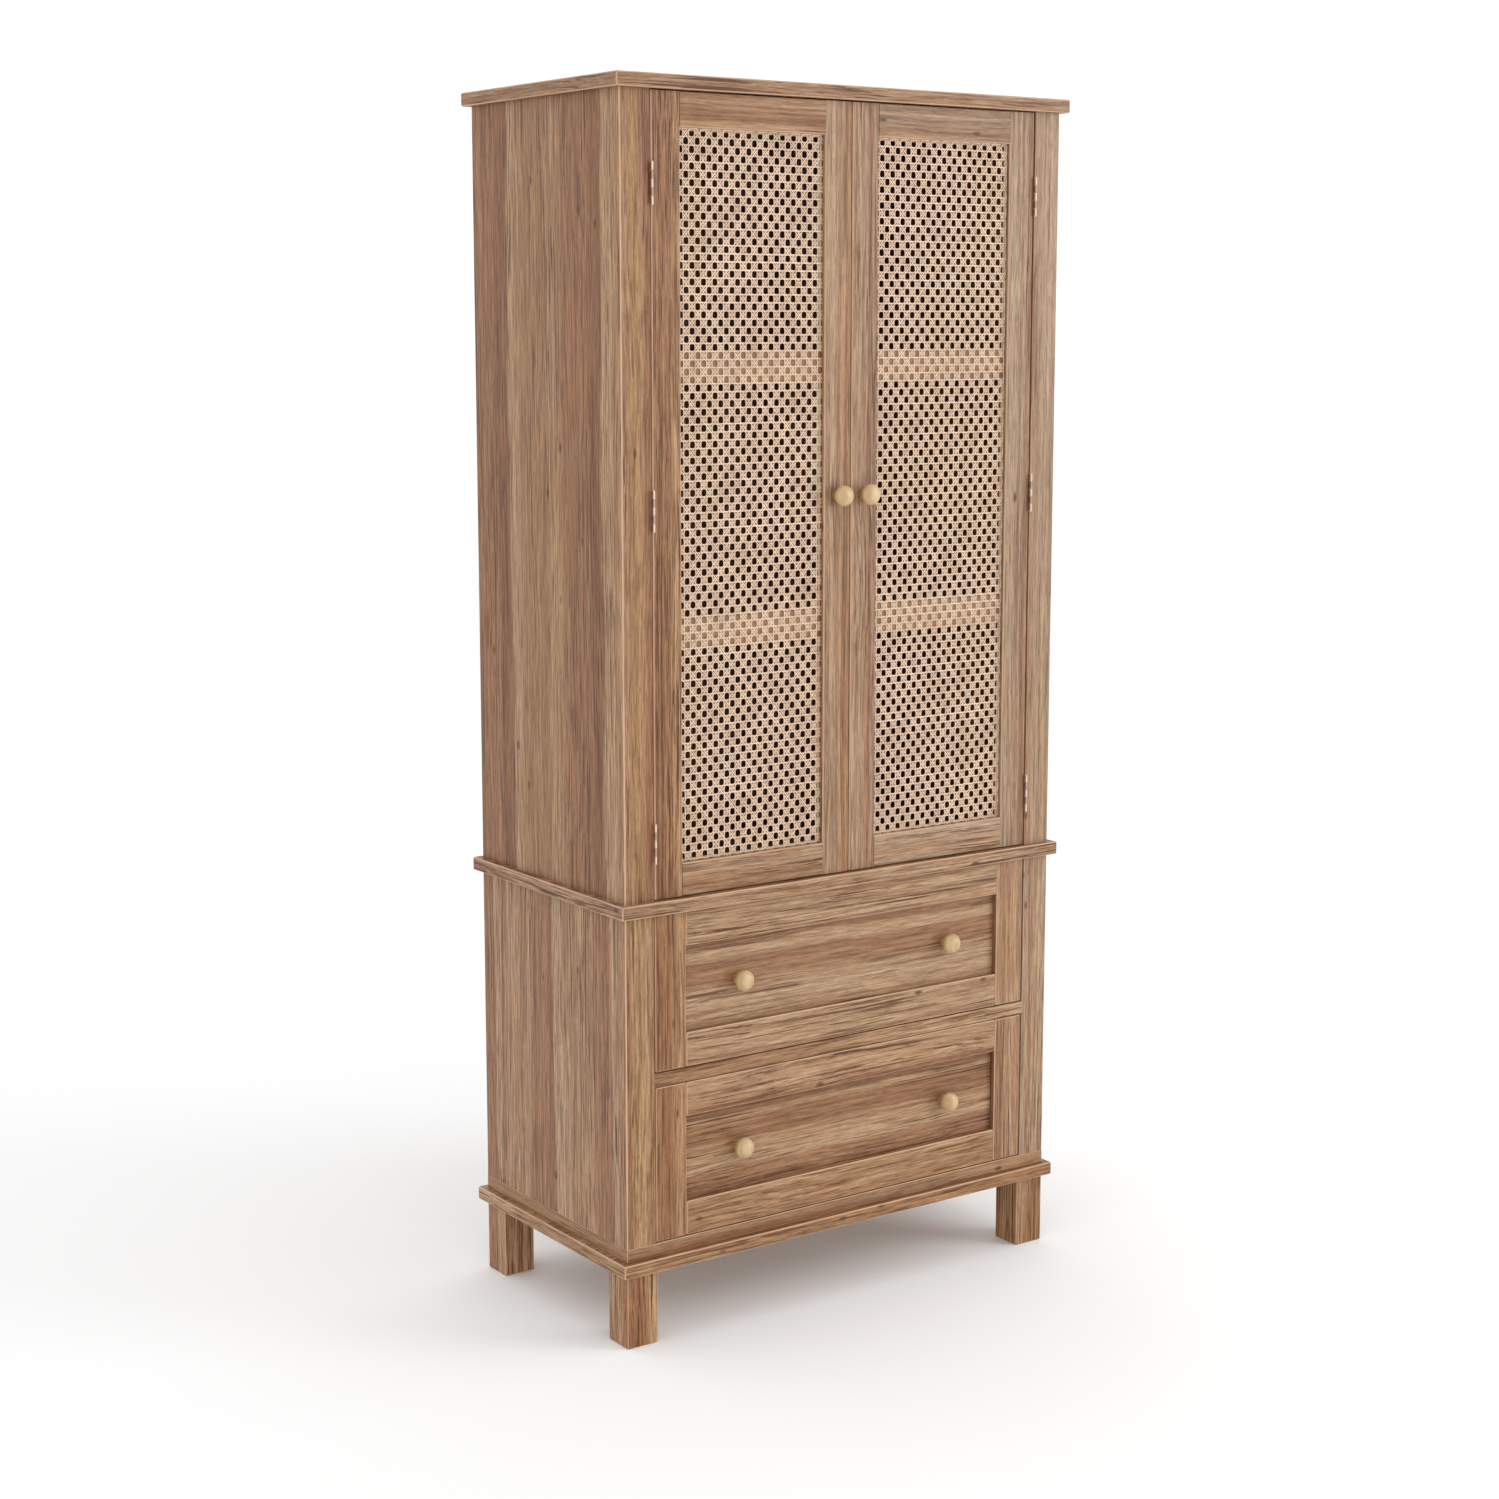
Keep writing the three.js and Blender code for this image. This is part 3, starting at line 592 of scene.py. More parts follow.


# ---- Case and door woodwork ----
# The tint of each piece's veneer, the strength of its streaks, and, where its tone bands are laid,
# the axis that they follow and their tones from its low end to its high end.
# The P tones and the cooler, bluer tints of the right-hand pieces are painted sheen, for the light that
# falls from the right.
PLAIN_LOOK = ((0.95, 0.92, 0.86), 1.0)
LOOKS = {
    "top_board": ((0.76, 0.67, 0.60), 1.5),
    "mid_board": ((0.86, 0.83, 0.81), 1.8),
    "base_board": ((1.01, 1.00, 0.91), 1.9),
    "bottom_panel": ((0.87, 0.76, 0.65), 0.8),
    "drawer_rail": ((1.0, 1.0, 0.97), 1.7),
    "upper_side_left": ((0.95, 0.92, 0.86), 1.35, "Y", "TLLDDRRRRBTTBBBBTLDDRRRR"),
    "lower_side_left": ((1.01, 1.02, 1.01), 1.35, "Y", "BLRRRTTTBTLLDRRRTBTTBLRR"),
    "upper_stile_left": ((0.87, 0.78, 0.72), 1.3, "X", "TTOOOTRR"),
    "lower_stile_left": ((1.0, 1.0, 0.93), 1.5, "X", "RBTOTTBR"),
    "upper_stile_right": ((0.95, 0.94, 0.90), 0.6, "X", "BPTPPLPP"),
    "lower_stile_right": ((0.96, 0.96, 0.95), 1.15, "X", "PPBTPLPP"),
    "left_door_hinge_stile": ((0.95, 0.91, 0.81), 1.75, "X", "RRDRRBTB"),
    "left_door_meeting_stile": ((0.94, 0.91, 0.86), 0.7, "X", "TPLPBTRB"),
    "right_door_meeting_stile": ((0.91, 0.86, 0.82), 1.1, "X", "LPLPTRPB"),
    "right_door_hinge_stile": ((0.87, 0.88, 0.88), 1.1, "X", "PLPTBPRB"),
    "left_door_top_rail": ((0.84, 0.75, 0.65), 1.15, "Z", "LRBTLT"),
    "right_door_top_rail": ((0.83, 0.78, 0.73), 1.05, "Z", "TBTPLP"),
    "left_door_bottom_rail": ((0.89, 0.84, 0.79), 1.4, "Z", "TBTLPT"),
    "right_door_bottom_rail": ((1.06, 1.08, 1.10), 1.05, "Z", "PTBPLP"),
    "leg_front_left": ((1.09, 1.02, 0.94), 1.2),
    "leg_front_right": ((0.94, 0.87, 0.74), 1.7),
    "leg_back_left": ((1.10, 1.03, 0.97), 1.4),
    "leg_back_right": ((1.10, 1.03, 0.97), 1.0),
    # The back panels are tinted dark as painted shade, for the shaded inside of the case seen through the
    # cane.
    "upper_back_panel": ((0.60, 0.58, 0.56), 1.0),
    "lower_back_panel": ((0.60, 0.58, 0.56), 1.0),
    "upper_drawer_front_panel": ((1.03, 1.06, 1.08), 1.0, "Z", "BTTLTBRRDTTD"),
    "upper_drawer_front_rail_top": ((1.03, 1.06, 1.08), 1.3, "Z", "BTTTTB"),
    "upper_drawer_front_rail_bottom": ((1.03, 1.06, 1.08), 1.1, "Z", "BTTTBT"),
    "lower_drawer_front_panel": ((1.0, 1.0, 0.98), 1.2, "Z", "DRRLTTBDRRTD"),
    "lower_drawer_front_rail_top": ((1.04, 1.02, 1.02), 1.35, "Z", "DBTTTT"),
    "lower_drawer_front_rail_bottom": ((0.91, 0.85, 0.78), 1.85, "Z", "BTTTTL"),
    "upper_drawer_front_stile_left": ((0.93, 0.83, 0.72), 0.9, "X", "RRBRBTLT"),
    "lower_drawer_front_stile_left": ((0.93, 0.83, 0.72), 0.9, "X", "RBRRBTLB"),
    "upper_drawer_front_stile_right": ((0.96, 0.92, 0.91), 0.9, "X", "TTBTTLTT"),
    "lower_drawer_front_stile_right": ((0.96, 0.92, 0.91), 0.9, "X", "TBBTTLTB"),
}


def veneer(name, axis, seed, box=None, **more):
    """A piece's own veneer, as LOOKS says. The box is that of the CAD node, unless it is given."""
    tint, streaks, *bands = LOOKS.get(name, PLAIN_LOOK)
    layout = band_layout(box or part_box(name), *bands) if bands else None
    return wood(f"veneer_{name}", axis, seed, layout, tint, streaks, **more)


# The pieces at the front left whose eased edges take the strongest painted highlight.
PALE_EDGED = (
    "upper_side_left", "lower_side_left", "upper_stile_left", "lower_stile_left", "left_door_hinge_stile",
)
PALE_EDGE = 0.95
SEEDS = {
    "boards": 11, "drawer_rail": 16, "case": 20, "shelves": 35, "backs": 40, "doors": 60,
    "drawer_fronts": 80, "guides": 92, "drawer_knobs": 100, "door_knobs": 110, "splines": 140,
    "drawer_boxes": 200,
}


def edge_highlight_of(name, otherwise):
    """How strong a piece's painted edge highlight is: most at the front left corner."""
    return PALE_EDGE if name in PALE_EDGED else otherwise


def finish_case():
    for i, name in enumerate(("top_board", "mid_board", "base_board", "bottom_panel")):
        give(NODES[name], veneer(name, "X", SEEDS["boards"] + i, side_axis="Y", edge=0.7))
    give(NODES["drawer_rail"], veneer("drawer_rail", "X", SEEDS["drawer_rail"]))
    seed = SEEDS["case"]
    for level in LEVELS:
        for hand, _ in SIDES:
            for part in ("side", "stile"):
                seed += 1
                name = f"{level}_{part}_{hand}"
                give(NODES[name], veneer(name, "Z", seed, edge=edge_highlight_of(name, 0.5)))
        shelf, back = f"shelf_{level}", f"{level}_back_panel"
        give(NODES[shelf], veneer(shelf, "X", SEEDS["shelves"], side_axis="Y"))
        give(NODES[back], veneer(back, "Z", SEEDS["backs"] + seed, roughness=0.6))
    for row in ("front", "back"):
        for hand, _ in SIDES:
            seed += 1
            name = f"leg_{row}_{hand}"
            give(NODES[name], veneer(name, "Z", seed, edge=0.5))


def finish_doors():
    members = (("hinge_stile", "Z"), ("meeting_stile", "Z"), ("top_rail", "X"), ("bottom_rail", "X"))
    seed = SEEDS["doors"]
    for hand, _ in SIDES:
        for member, axis in members:
            seed += 1
            name = f"{hand}_door_{member}"
            give(NODES[name], veneer(name, axis, seed, edge=edge_highlight_of(name, 0.7)))
        for level in LEVELS:
            seed += 1
            name = f"{hand}_door_cross_rail_{level}"
            give(NODES[name], plain_wood(f"timber_{name}", "X", seed, CROSS_RAIL))


# ---- Woven cane ----
HALF_X = 8.735 * MM  # half the weave's repeat across
HALF_Z = 10.18 * MM  # half its repeat up
UPRIGHT_WIDTH = 1.45 * MM
CROSSING_WIDTH = 1.7 * MM
PAIR_WIDTH = 1.6 * MM
PAIR_GAP = 1.15 * MM
STRAND_THICK = 0.50 * MM
LIFT = 0.56 * MM  # how far a single strand stands off the middle of the sheet
PAIR_LIFT = 0.28 * MM
TUCK = 3.5 * MM  # the cane runs this far into the door's groove
FRONT_HALF = 0.27  # half the width of a strand's rounded front, as a part of its width
WANDER = 0.12 * MM  # how far a single strand may lie off its place
PAIR_LEVEL = 0.32  # beyond this far from a crossing a pair lies level, as a part of a cell
PAIR_CROSS = 1.25 * MM  # how far from the crossing's middle its rise and dip are greatest
END_MARGIN = 0.4 * MM  # no bend nearer to a strand's end
HOLE_ASIDE = {"left": 4.2 * MM, "right": 10.6 * MM}  # the first hole, from the left of the opening
HOLE_BELOW = 5.8 * MM  # and from its top


def clip_line(point, direction, low, high):
    """The part of a line inside a rectangle, as two distances along it, or None."""
    start, end = -1e9, 1e9
    for at, step, lowest, highest in zip(point, direction, low, high):
        if abs(step) < 1e-9:
            if not lowest < at < highest:
                return None
            continue
        first, last = sorted(((lowest - at) / step, (highest - at) / step))
        start, end = max(start, first), min(end, last)
    return (start, end) if end - start > 1 * MM else None


class Strands:
    """Collects flat strands with rounded fronts that lie in the plane of a door's cane."""

    def __init__(self, middle_y):
        self.middle_y = middle_y
        self.points, self.faces, self.tones = [], [], []
        self.count = 0

    def add(self, point, direction, stations, heights, width, tone):
        along = np.array(direction)
        across = np.array((along[1], -along[0]))
        centre = np.array(point) + np.outer(stations, along)
        offsets = ((-0.5, 0.5), (0.5, 0.5), (FRONT_HALF, -0.5), (-FRONT_HALF, -0.5))
        rows = []
        for side, depth in offsets:
            spot = centre + across * side * width
            y = self.middle_y - np.array(heights) + depth * STRAND_THICK
            rows.append(np.column_stack((spot[:, 0], y, spot[:, 1])))
        ring = np.stack(rows, axis=1)
        n = len(stations)
        base = self.count + 4 * np.arange(n - 1)[:, None]
        for k in range(4):
            after = (k + 1) % 4
            self.faces.append(np.column_stack((base + k, base + after, base + 4 + after, base + 4 + k)))
        first, last = self.count, self.count + 4 * (n - 1)
        self.faces.append(np.array([[first + 3, first + 2, first + 1, first]]))
        self.faces.append(np.array([[last, last + 1, last + 2, last + 3]]))
        self.points.append(ring.reshape(-1, 3))
        self.tones.append(np.full(4 * n, tone))
        self.count += 4 * n

    def mesh(self, name):
        points = np.concatenate(self.points)
        faces = np.concatenate(self.faces)
        mesh = bpy.data.meshes.new(name)
        mesh.from_pydata(points.tolist(), [], faces.tolist())
        attribute = mesh.attributes.new("tone", "FLOAT", "POINT")
        attribute.data.foreach_set("value", np.concatenate(self.tones))
        mesh.polygons.foreach_set("use_smooth", [True] * len(mesh.polygons))
        work = bmesh.new()
        work.from_mesh(mesh)
        bmesh.ops.recalc_face_normals(work, faces=work.faces)
        work.to_mesh(mesh)
        work.free()
        return mesh


def weave_singles(strands, low, high, origin, upright, rng):
    """Single strands up or across, in front of every second pair that they cross and behind the next."""
    pitch, step = (HALF_X, HALF_Z) if upright else (HALF_Z, HALF_X)
    width = UPRIGHT_WIDTH if upright else CROSSING_WIDTH
    axis = 0 if upright else 1
    other = 1 - axis
    first = math.ceil((low[axis] - origin[axis]) / pitch - 0.5)
    last = math.floor((high[axis] - origin[axis]) / pitch - 0.5)
    for i in range(first, last + 1):
        place = origin[axis] + (i + 0.5) * pitch
        start = math.floor((low[other] - origin[other]) / step - 0.5)
        end = math.ceil((high[other] - origin[other]) / step - 0.5)
        stations, heights = [], []
        for j in range(2 * start, 2 * end + 1):
            at = origin[other] + (j / 2 + 0.5) * step
            stations.append(min(max(at, low[other]), high[other]))
            sign = 1 if upright else -1
            crossing = -sign if (i + j // 2) % 2 == 0 else sign
            heights.append(LIFT * crossing if j % 2 == 0 else 0.0)
        keep = [k for k in range(len(stations)) if k == 0 or stations[k] > stations[k - 1] + 1e-6]
        point = (place, 0.0) if upright else (0.0, place)
        direction = (0.0, 1.0) if upright else (1.0, 0.0)
        wander = rng.uniform(-1, 1) * WANDER
        point = (point[0] + wander * direction[1], point[1] + wander * direction[0])
        strands.add(point, direction, [stations[k] for k in keep], [heights[k] for k in keep],
                    width * rng.uniform(0.94, 1.06), rng.betavariate(2.4, 2.0))


def weave_pairs(strands, low, high, origin, lean, rng):
    """Pairs of strands on one diagonal, interlaced with the other diagonal's pairs where they meet."""
    run = math.hypot(HALF_X, HALF_Z)
    direction = (HALF_X / run, lean * HALF_Z / run)
    normal = (direction[1], -direction[0])
    reach = int((high[0] - low[0]) / HALF_X + (high[1] - low[1]) / HALF_Z) + 3
    spread = (PAIR_WIDTH + PAIR_GAP) / 2
    level = PAIR_LEVEL * run
    bends = ((-level, 0.0), (-PAIR_CROSS, 1.0), (PAIR_CROSS, -1.0), (level, 0.0))
    for k in range(-reach, reach + 1):
        if k % 2 == 0:
            continue
        crossing = (origin[0] + k * HALF_X, origin[1])
        for member in (-1, 1):
            point = tuple(c + n * spread * member for c, n in zip(crossing, normal))
            span = clip_line(point, direction, low, high)
            tone = rng.betavariate(2.4, 2.0)
            if span is None:
                continue
            stations, heights = [span[0]], [0.0]
            cell = math.floor(span[0] / run)
            while cell * run < span[1]:
                middle = cell * run
                for offset, height in bends:
                    at = middle + offset
                    if stations[-1] + END_MARGIN < at < span[1] - END_MARGIN:
                        stations.append(at)
                        heights.append(height * member * PAIR_LIFT)
                cell += 1
            stations.append(span[1])
            heights.append(0.0)
            strands.add(point, direction, stations, heights, PAIR_WIDTH * rng.uniform(0.95, 1.05), tone)


def make_cane(hand):
    node = f"{hand}_door_cane_panel"
    low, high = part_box(node)
    middle_y = (low[1] + high[1]) / 2
    rail_low, rail_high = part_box(f"{hand}_door_top_rail")
    sheet_low = (rail_low[0] - TUCK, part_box(f"{hand}_door_bottom_rail")[1][2] - TUCK)
    sheet_high = (rail_high[0] + TUCK, rail_low[2] + TUCK)
    origin = (rail_low[0] + HOLE_ASIDE[hand], rail_low[2] - HOLE_BELOW)
    families = (
        ("uprights", weave_singles, True, (900, 900, 30)),
        ("crossings", weave_singles, False, (30, 900, 900)),
        ("rising_pairs", weave_pairs, 1, (500, 900, 500)),
        ("falling_pairs", weave_pairs, -1, (500, 900, 500)),
    )
    for family, weave, way, across in families:
        strands = Strands(middle_y)
        weave(strands, sheet_low, sheet_high, origin, way, random.Random(f"{hand}{family}"))
        name = f"{hand}_door_cane_{family}"
        split_cane = cane_material(f"cane_{hand}_{family}", across)
        new_piece(name, strands.mesh(name), f"{hand}_door", "cane", split_cane, node)


SPLINE_WIDTH = 3.6 * MM
SPLINE_THICK = 1.9 * MM
SPLINE_BITE = 0.05 * MM  # how far a spline sinks into the sheet's back
SPLINE_EASE = 0.7 * MM


def make_splines(hand):
    """Flat rattan strips on the back of the cane, round each of the door's three openings."""
    rail_low, rail_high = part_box(f"{hand}_door_top_rail")
    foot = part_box(f"{hand}_door_bottom_rail")[1][2]
    rails = [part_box(f"{hand}_door_cross_rail_{level}") for level in ("lower", "upper")]
    sheet_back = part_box(f"{hand}_door_cane_panel")[1][1]
    y = (sheet_back - SPLINE_BITE, sheet_back - SPLINE_BITE + SPLINE_THICK)
    x = (rail_low[0], rail_high[0])
    gaps = [foot, rails[0][0][2], rails[0][1][2], rails[1][0][2], rails[1][1][2], rail_low[2]]
    boards = []
    for low, high in zip(gaps[::2], gaps[1::2]):
        for edge in (x[0], x[1] - SPLINE_WIDTH):
            boards.append(((edge, y[0], low), (edge + SPLINE_WIDTH, y[1], high)))
    for edge in (foot, rail_low[2] - SPLINE_WIDTH):
        start = (x[0] + SPLINE_WIDTH, y[0], edge)
        boards.append((start, (x[1] - SPLINE_WIDTH, y[1], edge + SPLINE_WIDTH)))
    name = f"{hand}_door_cane_splines"
    rattan = plain_wood(f"rattan_{hand}", "Z", SEEDS["splines"], RATTAN, fine=500)
    new_piece(name, boards_mesh(name, boards, SPLINE_EASE), f"{hand}_door", "cane", rattan)


# ---- Knobs ----
KNOB_HALF_DEPTH = 10 * MM
KNOB_ARC_STEPS = 24
NECK_PART = 0.46  # where the ball leaves its neck, as a part of the ball's radius
FOOT_PART = 0.60
WAIST_PART = 0.50


def knob_profile(radius, length):
    """A slightly flattened ball on a short neck that flares to its foot, from its foot to its tip."""
    centre = length - KNOB_HALF_DEPTH
    start = math.asin(NECK_PART)
    joint = centre - KNOB_HALF_DEPTH * math.cos(start)
    foot, waist = FOOT_PART * radius, WAIST_PART * radius
    profile = [(0, 0), (foot, 0), (foot, 0.12 * joint), (waist, 0.40 * joint)]
    for i in range(KNOB_ARC_STEPS):
        angle = start + (math.pi - start) * i / KNOB_ARC_STEPS
        profile.append((radius * math.sin(angle), centre - KNOB_HALF_DEPTH * math.cos(angle)))
    profile.append((0, length))
    return profile


def make_knob(node, body, seed):
    low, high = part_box(node)
    place = ((low[0] + high[0]) / 2, high[1], (low[2] + high[2]) / 2)
    name = f"{node}_turned"
    profile = knob_profile((high[2] - low[2]) / 2, high[1] - low[1])
    mesh = turned_mesh(name, profile, [place], (0, -1, 0))
    new_piece(name, mesh, body, "knob_wood", turned_wood(f"beech_{node}", seed, low, high), node)


# ---- Drawers ----
FRONT_STILE = 48 * MM
FRONT_RAIL = 46 * MM
FRONT_SINK = 8.5 * MM
SEAM = 0.35 * MM  # between an upright of a front and its rails
FRONT_EASE = 1.2 * MM
PANEL_EASE = 0.1 * MM
BOX_EASE = 0.5 * MM
BOX_WALL = 12 * MM
BOX_FLOOR_RISE = 10 * MM  # from the foot of the box's sides to its floor
BOX_FLOOR = 4 * MM
RUNNER_INNER = 18.25 * MM
RUNNER_WIDTH = 6 * MM


def make_drawer_front(level, seed):
    node = f"{level}_drawer_front"
    low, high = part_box(node)
    body = f"{level}_drawer"
    inner_x = (low[0] + FRONT_STILE, high[0] - FRONT_STILE)
    inner_z = (low[2] + FRONT_RAIL, high[2] - FRONT_RAIL)
    pieces = (
        ("stile_left", (low[0], low[1], low[2]), (inner_x[0] - SEAM, high[1], high[2]), "Z"),
        ("stile_right", (inner_x[1] + SEAM, low[1], low[2]), (high[0], high[1], high[2]), "Z"),
        ("rail_top", (inner_x[0], low[1], inner_z[1]), (inner_x[1], high[1], high[2]), "X"),
        ("rail_bottom", (inner_x[0], low[1], low[2]), (inner_x[1], high[1], inner_z[0]), "X"),
        ("panel", (inner_x[0], low[1] + FRONT_SINK, inner_z[0]), (inner_x[1], high[1], inner_z[1]), "X"),
    )
    for i, (part, start, end, axis) in enumerate(pieces):
        name = f"{node}_{part}"
        mesh = boards_mesh(name, [(start, end)], PANEL_EASE if part == "panel" else FRONT_EASE)
        shaded = "X" if axis == "Z" else "Z"
        face = veneer(name, axis, seed + i, (start, end), edge=0.8, shaded=shaded)
        new_piece(name, mesh, body, "drawer_wood", face, node)


def make_drawer_box(level, seed):
    """Plywood sides, back and floor, with the two hardwood runners that straddle the guide."""
    node = f"{level}_drawer_box"
    low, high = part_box(node)
    floor_low = low[2] + BOX_FLOOR_RISE
    floor_high = floor_low + BOX_FLOOR
    inner = (low[0] + BOX_WALL, high[0] - BOX_WALL)
    pieces = (
        ("side_left", low, (inner[0], high[1], high[2]), "Y", "X"),
        ("side_right", (inner[1], low[1], low[2]), high, "Y", "X"),
        ("back", (inner[0], high[1] - BOX_WALL, floor_high), (inner[1], high[1], high[2]), "X", "Y"),
        ("floor", (inner[0], low[1], floor_low), (inner[1], high[1], floor_high), "X", "Z"),
    )
    for i, (part, start, end, axis, thin) in enumerate(pieces):
        name = f"{level}_drawer_{part}"
        ply = plywood(f"birch_{name}", axis, seed + i, thin, start["XYZ".index(thin)])
        mesh = boards_mesh(name, [(start, end)], BOX_EASE)
        new_piece(name, mesh, f"{level}_drawer", "box_wood", ply, node)
    middle = (low[0] + high[0]) / 2
    runners = []
    for side in (-1, 1):
        outer = RUNNER_INNER + RUNNER_WIDTH
        near, far = sorted((middle + side * RUNNER_INNER, middle + side * outer))
        runners.append(((near, low[1], low[2]), (far, high[1], floor_low)))
    name = f"{level}_drawer_runners"
    beech = plain_wood(f"beech_{name}", "Y", seed + len(pieces) + 1, BEECH)
    new_piece(name, boards_mesh(name, runners, BOX_EASE), f"{level}_drawer", "box_wood", beech, node)


def make_drawers():
    for i, level in enumerate(LEVELS):
        make_drawer_front(level, SEEDS["drawer_fronts"] + 10 * i)
        make_drawer_box(level, SEEDS["drawer_boxes"] + 10 * i)
        beech = plain_wood(f"guide_{level}", "Y", SEEDS["guides"] + i, BEECH)
        give(NODES[f"{level}_drawer_guide"], beech)
        for j, (hand, _) in enumerate(SIDES):
            seed = SEEDS["drawer_knobs"] + 2 * i + j
            make_knob(f"{level}_drawer_knob_{hand}", f"{level}_drawer", seed)


# ---- Hardware ----
HINGE_LEAF = 0.75 * MM
CASE_LEAF_LIT_TONE = (0.74, 0.58, 0.46)  # the leaves on the case, whose knuckles show: the hinge metal painted brighter, as painted highlight
DOOR_LEAF_SHADED_TONE = (0.46, 0.32, 0.23)  # the leaves on the doors: the same metal painted darker, as painted shade
STEEL = (0.50, 0.485, 0.46)
SHADOW = (0.03, 0.028, 0.025)  # the floor of a screw's recess
SCREW_RISE = 0.1 * MM
HINGE_SCREW_RADIUS = 2.7 * MM
HINGE_SCREWS = ((4.5 * MM, -18 * MM), (8 * MM, 0), (4.5 * MM, 18 * MM))  # in from the leaf's end, and up


def add_screws(name, places, toward, radius, body, colour):
    mesh = screws_mesh(name, places, toward, radius, SCREW_RISE)
    piece = new_piece(name, mesh, body, "hinge_metal", metal(f"{name}_metal", colour, 0.38))
    piece.data.materials.append(metal(f"{name}_recess", SHADOW, 0.6))


def finish_hinges():
    # Lit and shaded copies of one metal: the case leaves take a painted highlight, the door leaves
    # painted shade.
    leaves = (("frame", 1, CASE_LEAF_LIT_TONE), ("door", -1, DOOR_LEAF_SHADED_TONE))
    for leaf, toward_case, colour in leaves:
        steel = metal(f"{leaf}_leaf_steel", colour, 0.42)
        for hand, side in SIDES:
            outward = side * toward_case
            for place in ("top", "middle", "bottom"):
                node = f"{hand}_hinge_{place}_{leaf}_leaf"
                give(NODES[node], steel)
                low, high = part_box(node)
                face_x = high[0] - HINGE_LEAF if outward > 0 else low[0] + HINGE_LEAF
                middle = (low[2] + high[2]) / 2
                places = [(face_x, high[1] - step, middle + rise) for step, rise in HINGE_SCREWS]
                body = "cabinet" if leaf == "frame" else f"{hand}_door"
                add_screws(f"{node}_screws", places, (-outward, 0, 0), HINGE_SCREW_RADIUS, body, colour)


POLES_X = (-11 * MM, 11 * MM)
POLE_HALF = 7 * MM
POLE_Z = (4 * MM, 11 * MM)  # above the foot of the catch
POLE_RISE = 0.12 * MM
POLE_DEPTH = 1 * MM
STRIKE_X = (3 * MM, 21 * MM)  # from the middle of the case
STRIKE_Z = (1 * MM, 13 * MM)
STRIKE_SUNK = 0.4 * MM
STRIKE_RISE = 0.15 * MM
STRIKE_SCREW_IN = 3.5 * MM
CATCH_SCREW_RADIUS = 2 * MM
PLATE_EASE = 0.1 * MM


def make_catch():
    """Two steel pole plates on the catch, and a strike plate with two screws on each door."""
    give(NODES["magnetic_catch"], plastic("catch_plastic", (0.03, 0.03, 0.032)))
    low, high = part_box("magnetic_catch")
    poles = []
    for centre in POLES_X:
        start = (centre - POLE_HALF, low[1] - POLE_RISE, low[2] + POLE_Z[0])
        poles.append((start, (centre + POLE_HALF, low[1] + POLE_DEPTH, low[2] + POLE_Z[1])))
    steel = metal("catch_steel", STEEL, 0.35)
    mesh = boards_mesh("catch_poles", poles, PLATE_EASE)
    new_piece("catch_poles", mesh, "cabinet", "hinge_metal", steel)
    for hand, side in SIDES:
        body = f"{hand}_door"
        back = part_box(f"{hand}_door_meeting_stile")[1][1]
        near, far = sorted(side * x for x in STRIKE_X)
        face = back + STRIKE_RISE
        plate = ((near, back - STRIKE_SUNK, low[2] + STRIKE_Z[0]), (far, face, low[2] + STRIKE_Z[1]))
        name = f"{hand}_door_strike_plate"
        new_piece(name, boards_mesh(name, [plate], PLATE_EASE), body, "hinge_metal", steel)
        middle = low[2] + sum(STRIKE_Z) / 2
        places = [(x, face, middle) for x in (near + STRIKE_SCREW_IN, far - STRIKE_SCREW_IN)]
        add_screws(f"{name}_screws", places, (0, 1, 0), CATCH_SCREW_RADIUS, body, STEEL)


# Profiles of (radius, height above the wood's face), in millimetres.
SHELF_PIN = (
    (0, -2), (2.5, -2), (2.5, 0), (4, 0), (4, 1.2), (2.5, 1.6), (2.5, 8), (2, 8.5), (0, 8.5),
)
NAIL_HEAD = ((0, -0.5), (2, -0.5), (2, 0.3), (1.4, 0.7), (0, 0.8))
PIN_PLACES = (0.14, 0.86)  # as parts of a shelf's depth
PIN_BELOW = 2.5 * MM


def in_metres(profile):
    return [(radius * MM, height * MM) for radius, height in profile]


def make_shelf_pins():
    """Steel pins in the side panels, four under each shelf."""
    steel = metal("shelf_pin_steel", STEEL, 0.35)
    for level in LEVELS:
        low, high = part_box(f"shelf_{level}")
        depth = high[1] - low[1]
        for hand, side in SIDES:
            wall = low[0] if side < 0 else high[0]
            places = [(wall, low[1] + part * depth, low[2] - PIN_BELOW) for part in PIN_PLACES]
            name = f"shelf_{level}_pins_{hand}"
            mesh = turned_mesh(name, in_metres(SHELF_PIN), places, (-side, 0, 0), segments=16)
            new_piece(name, mesh, "cabinet", "hinge_metal", steel)


NAIL_IN = (7 * MM, 9 * MM)  # from a panel's sides, and from its top and foot
NAIL_PITCH = 0.15  # roughly, up the sides


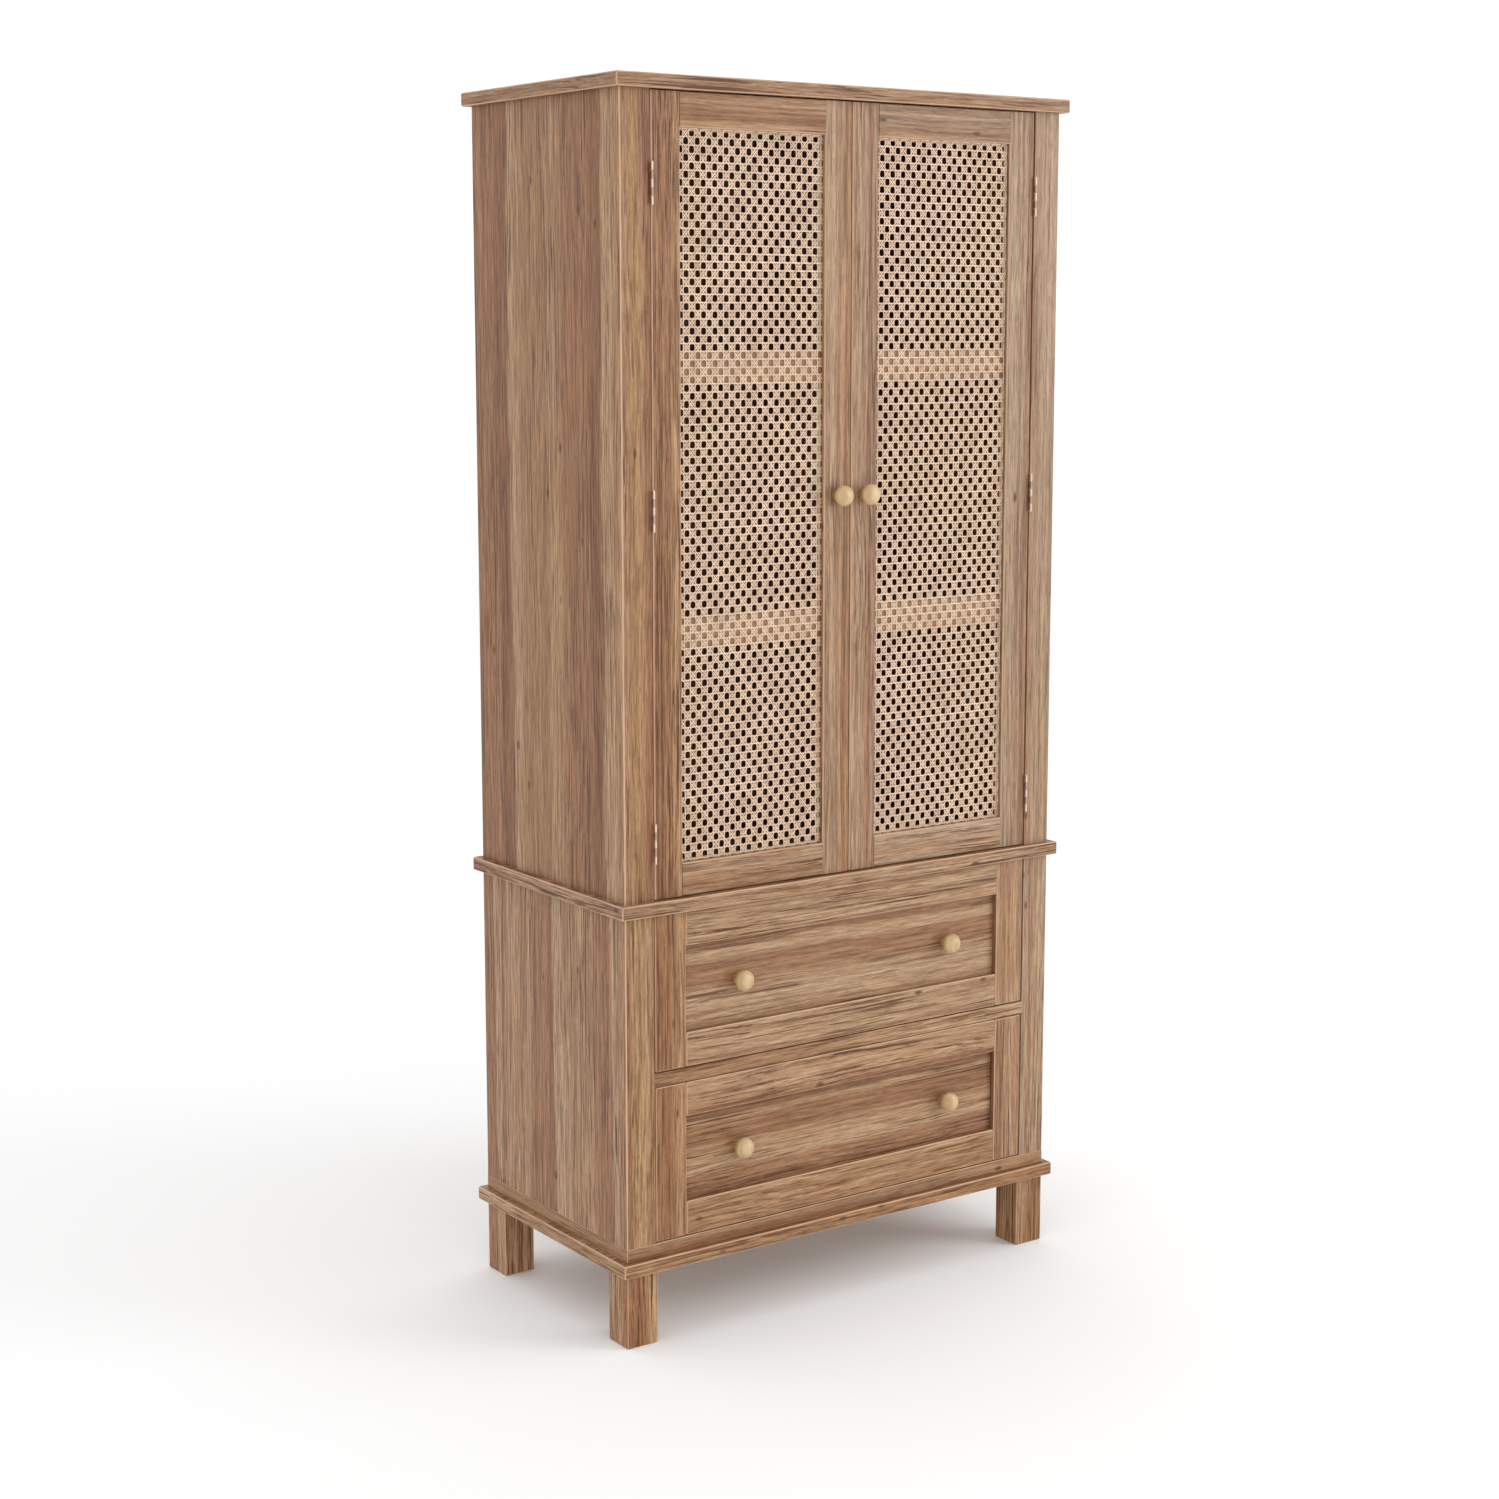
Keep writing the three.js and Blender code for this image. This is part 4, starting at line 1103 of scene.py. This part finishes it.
def make_nails():
    """Small round nail heads round the back panels."""
    steel = metal("nail_steel", STEEL, 0.4)
    for level in LEVELS:
        low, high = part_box(f"{level}_back_panel")
        x = (low[0] + NAIL_IN[0], high[0] - NAIL_IN[0])
        z = (low[2] + NAIL_IN[1], high[2] - NAIL_IN[1])
        rows = max(2, round((z[1] - z[0]) / NAIL_PITCH))
        spots = [(side, z[0] + (z[1] - z[0]) * i / rows) for side in x for i in range(rows + 1)]
        spots += [(x[0] + (x[1] - x[0]) * i / 4, edge) for edge in z for i in (1, 2, 3)]
        name = f"{level}_back_nails"
        places = [(u, high[1], v) for u, v in spots]
        mesh = turned_mesh(name, in_metres(NAIL_HEAD), places, (0, 1, 0), segments=14)
        new_piece(name, mesh, "cabinet", "hinge_metal", steel)


# ---- Floor and light ----
FLOOR_REACH = 30
FLOOR_WHITE = (0.95, 0.95, 0.95, 1)
SKY_STRENGTH = 1.06
WINDOW_PLACE = (3.4, -3.3, 1.9)
WINDOW_TARGET = (0, 0, 0.9)
WINDOW_SIZE = (2.0, 2.6)
WINDOW_POWER = 75
WINDOW_COLOUR = (0.90, 0.97, 1.0)


def make_stage():
    work = bmesh.new()
    bmesh.ops.create_grid(work, x_segments=1, y_segments=1, size=FLOOR_REACH)
    floor = bpy.data.objects.new("floor", from_bmesh("floor", work))
    bpy.context.collection.objects.link(floor)
    material, _, shader = new_material("floor_white")
    shader.inputs["Base Color"].default_value = FLOOR_WHITE
    shader.inputs["Roughness"].default_value = 0.9
    shader.inputs["Specular IOR Level"].default_value = 0.1
    floor.data.materials.append(material)


def make_window():
    """One broad, slightly cool light from the front right."""
    data = bpy.data.lights.new("window", "AREA")
    data.shape = "RECTANGLE"
    data.size, data.size_y = WINDOW_SIZE
    data.energy = WINDOW_POWER
    data.color = WINDOW_COLOUR
    light = bpy.data.objects.new("window", data)
    light.location = WINDOW_PLACE
    aim = Vector(WINDOW_TARGET) - Vector(WINDOW_PLACE)
    light.rotation_euler = aim.to_track_quat("-Z", "Y").to_euler()
    bpy.context.collection.objects.link(light)


def make_light():
    world = bpy.data.worlds.new("studio")
    bpy.context.scene.world = world
    world.use_nodes = True
    sky = world.node_tree.nodes["Background"]
    sky.inputs["Color"].default_value = (1, 1, 1, 1)
    sky.inputs["Strength"].default_value = SKY_STRENGTH
    make_window()
    bpy.context.scene.view_settings.view_transform = "Standard"


make_camera()
make_stage()
make_light()
finish_case()
finish_doors()
finish_hinges()
make_catch()
make_shelf_pins()
make_nails()
for hand, side in SIDES:
    make_cane(hand)
    make_splines(hand)
    make_knob(f"{hand}_door_knob", f"{hand}_door", SEEDS["door_knobs"] + side)
make_drawers()
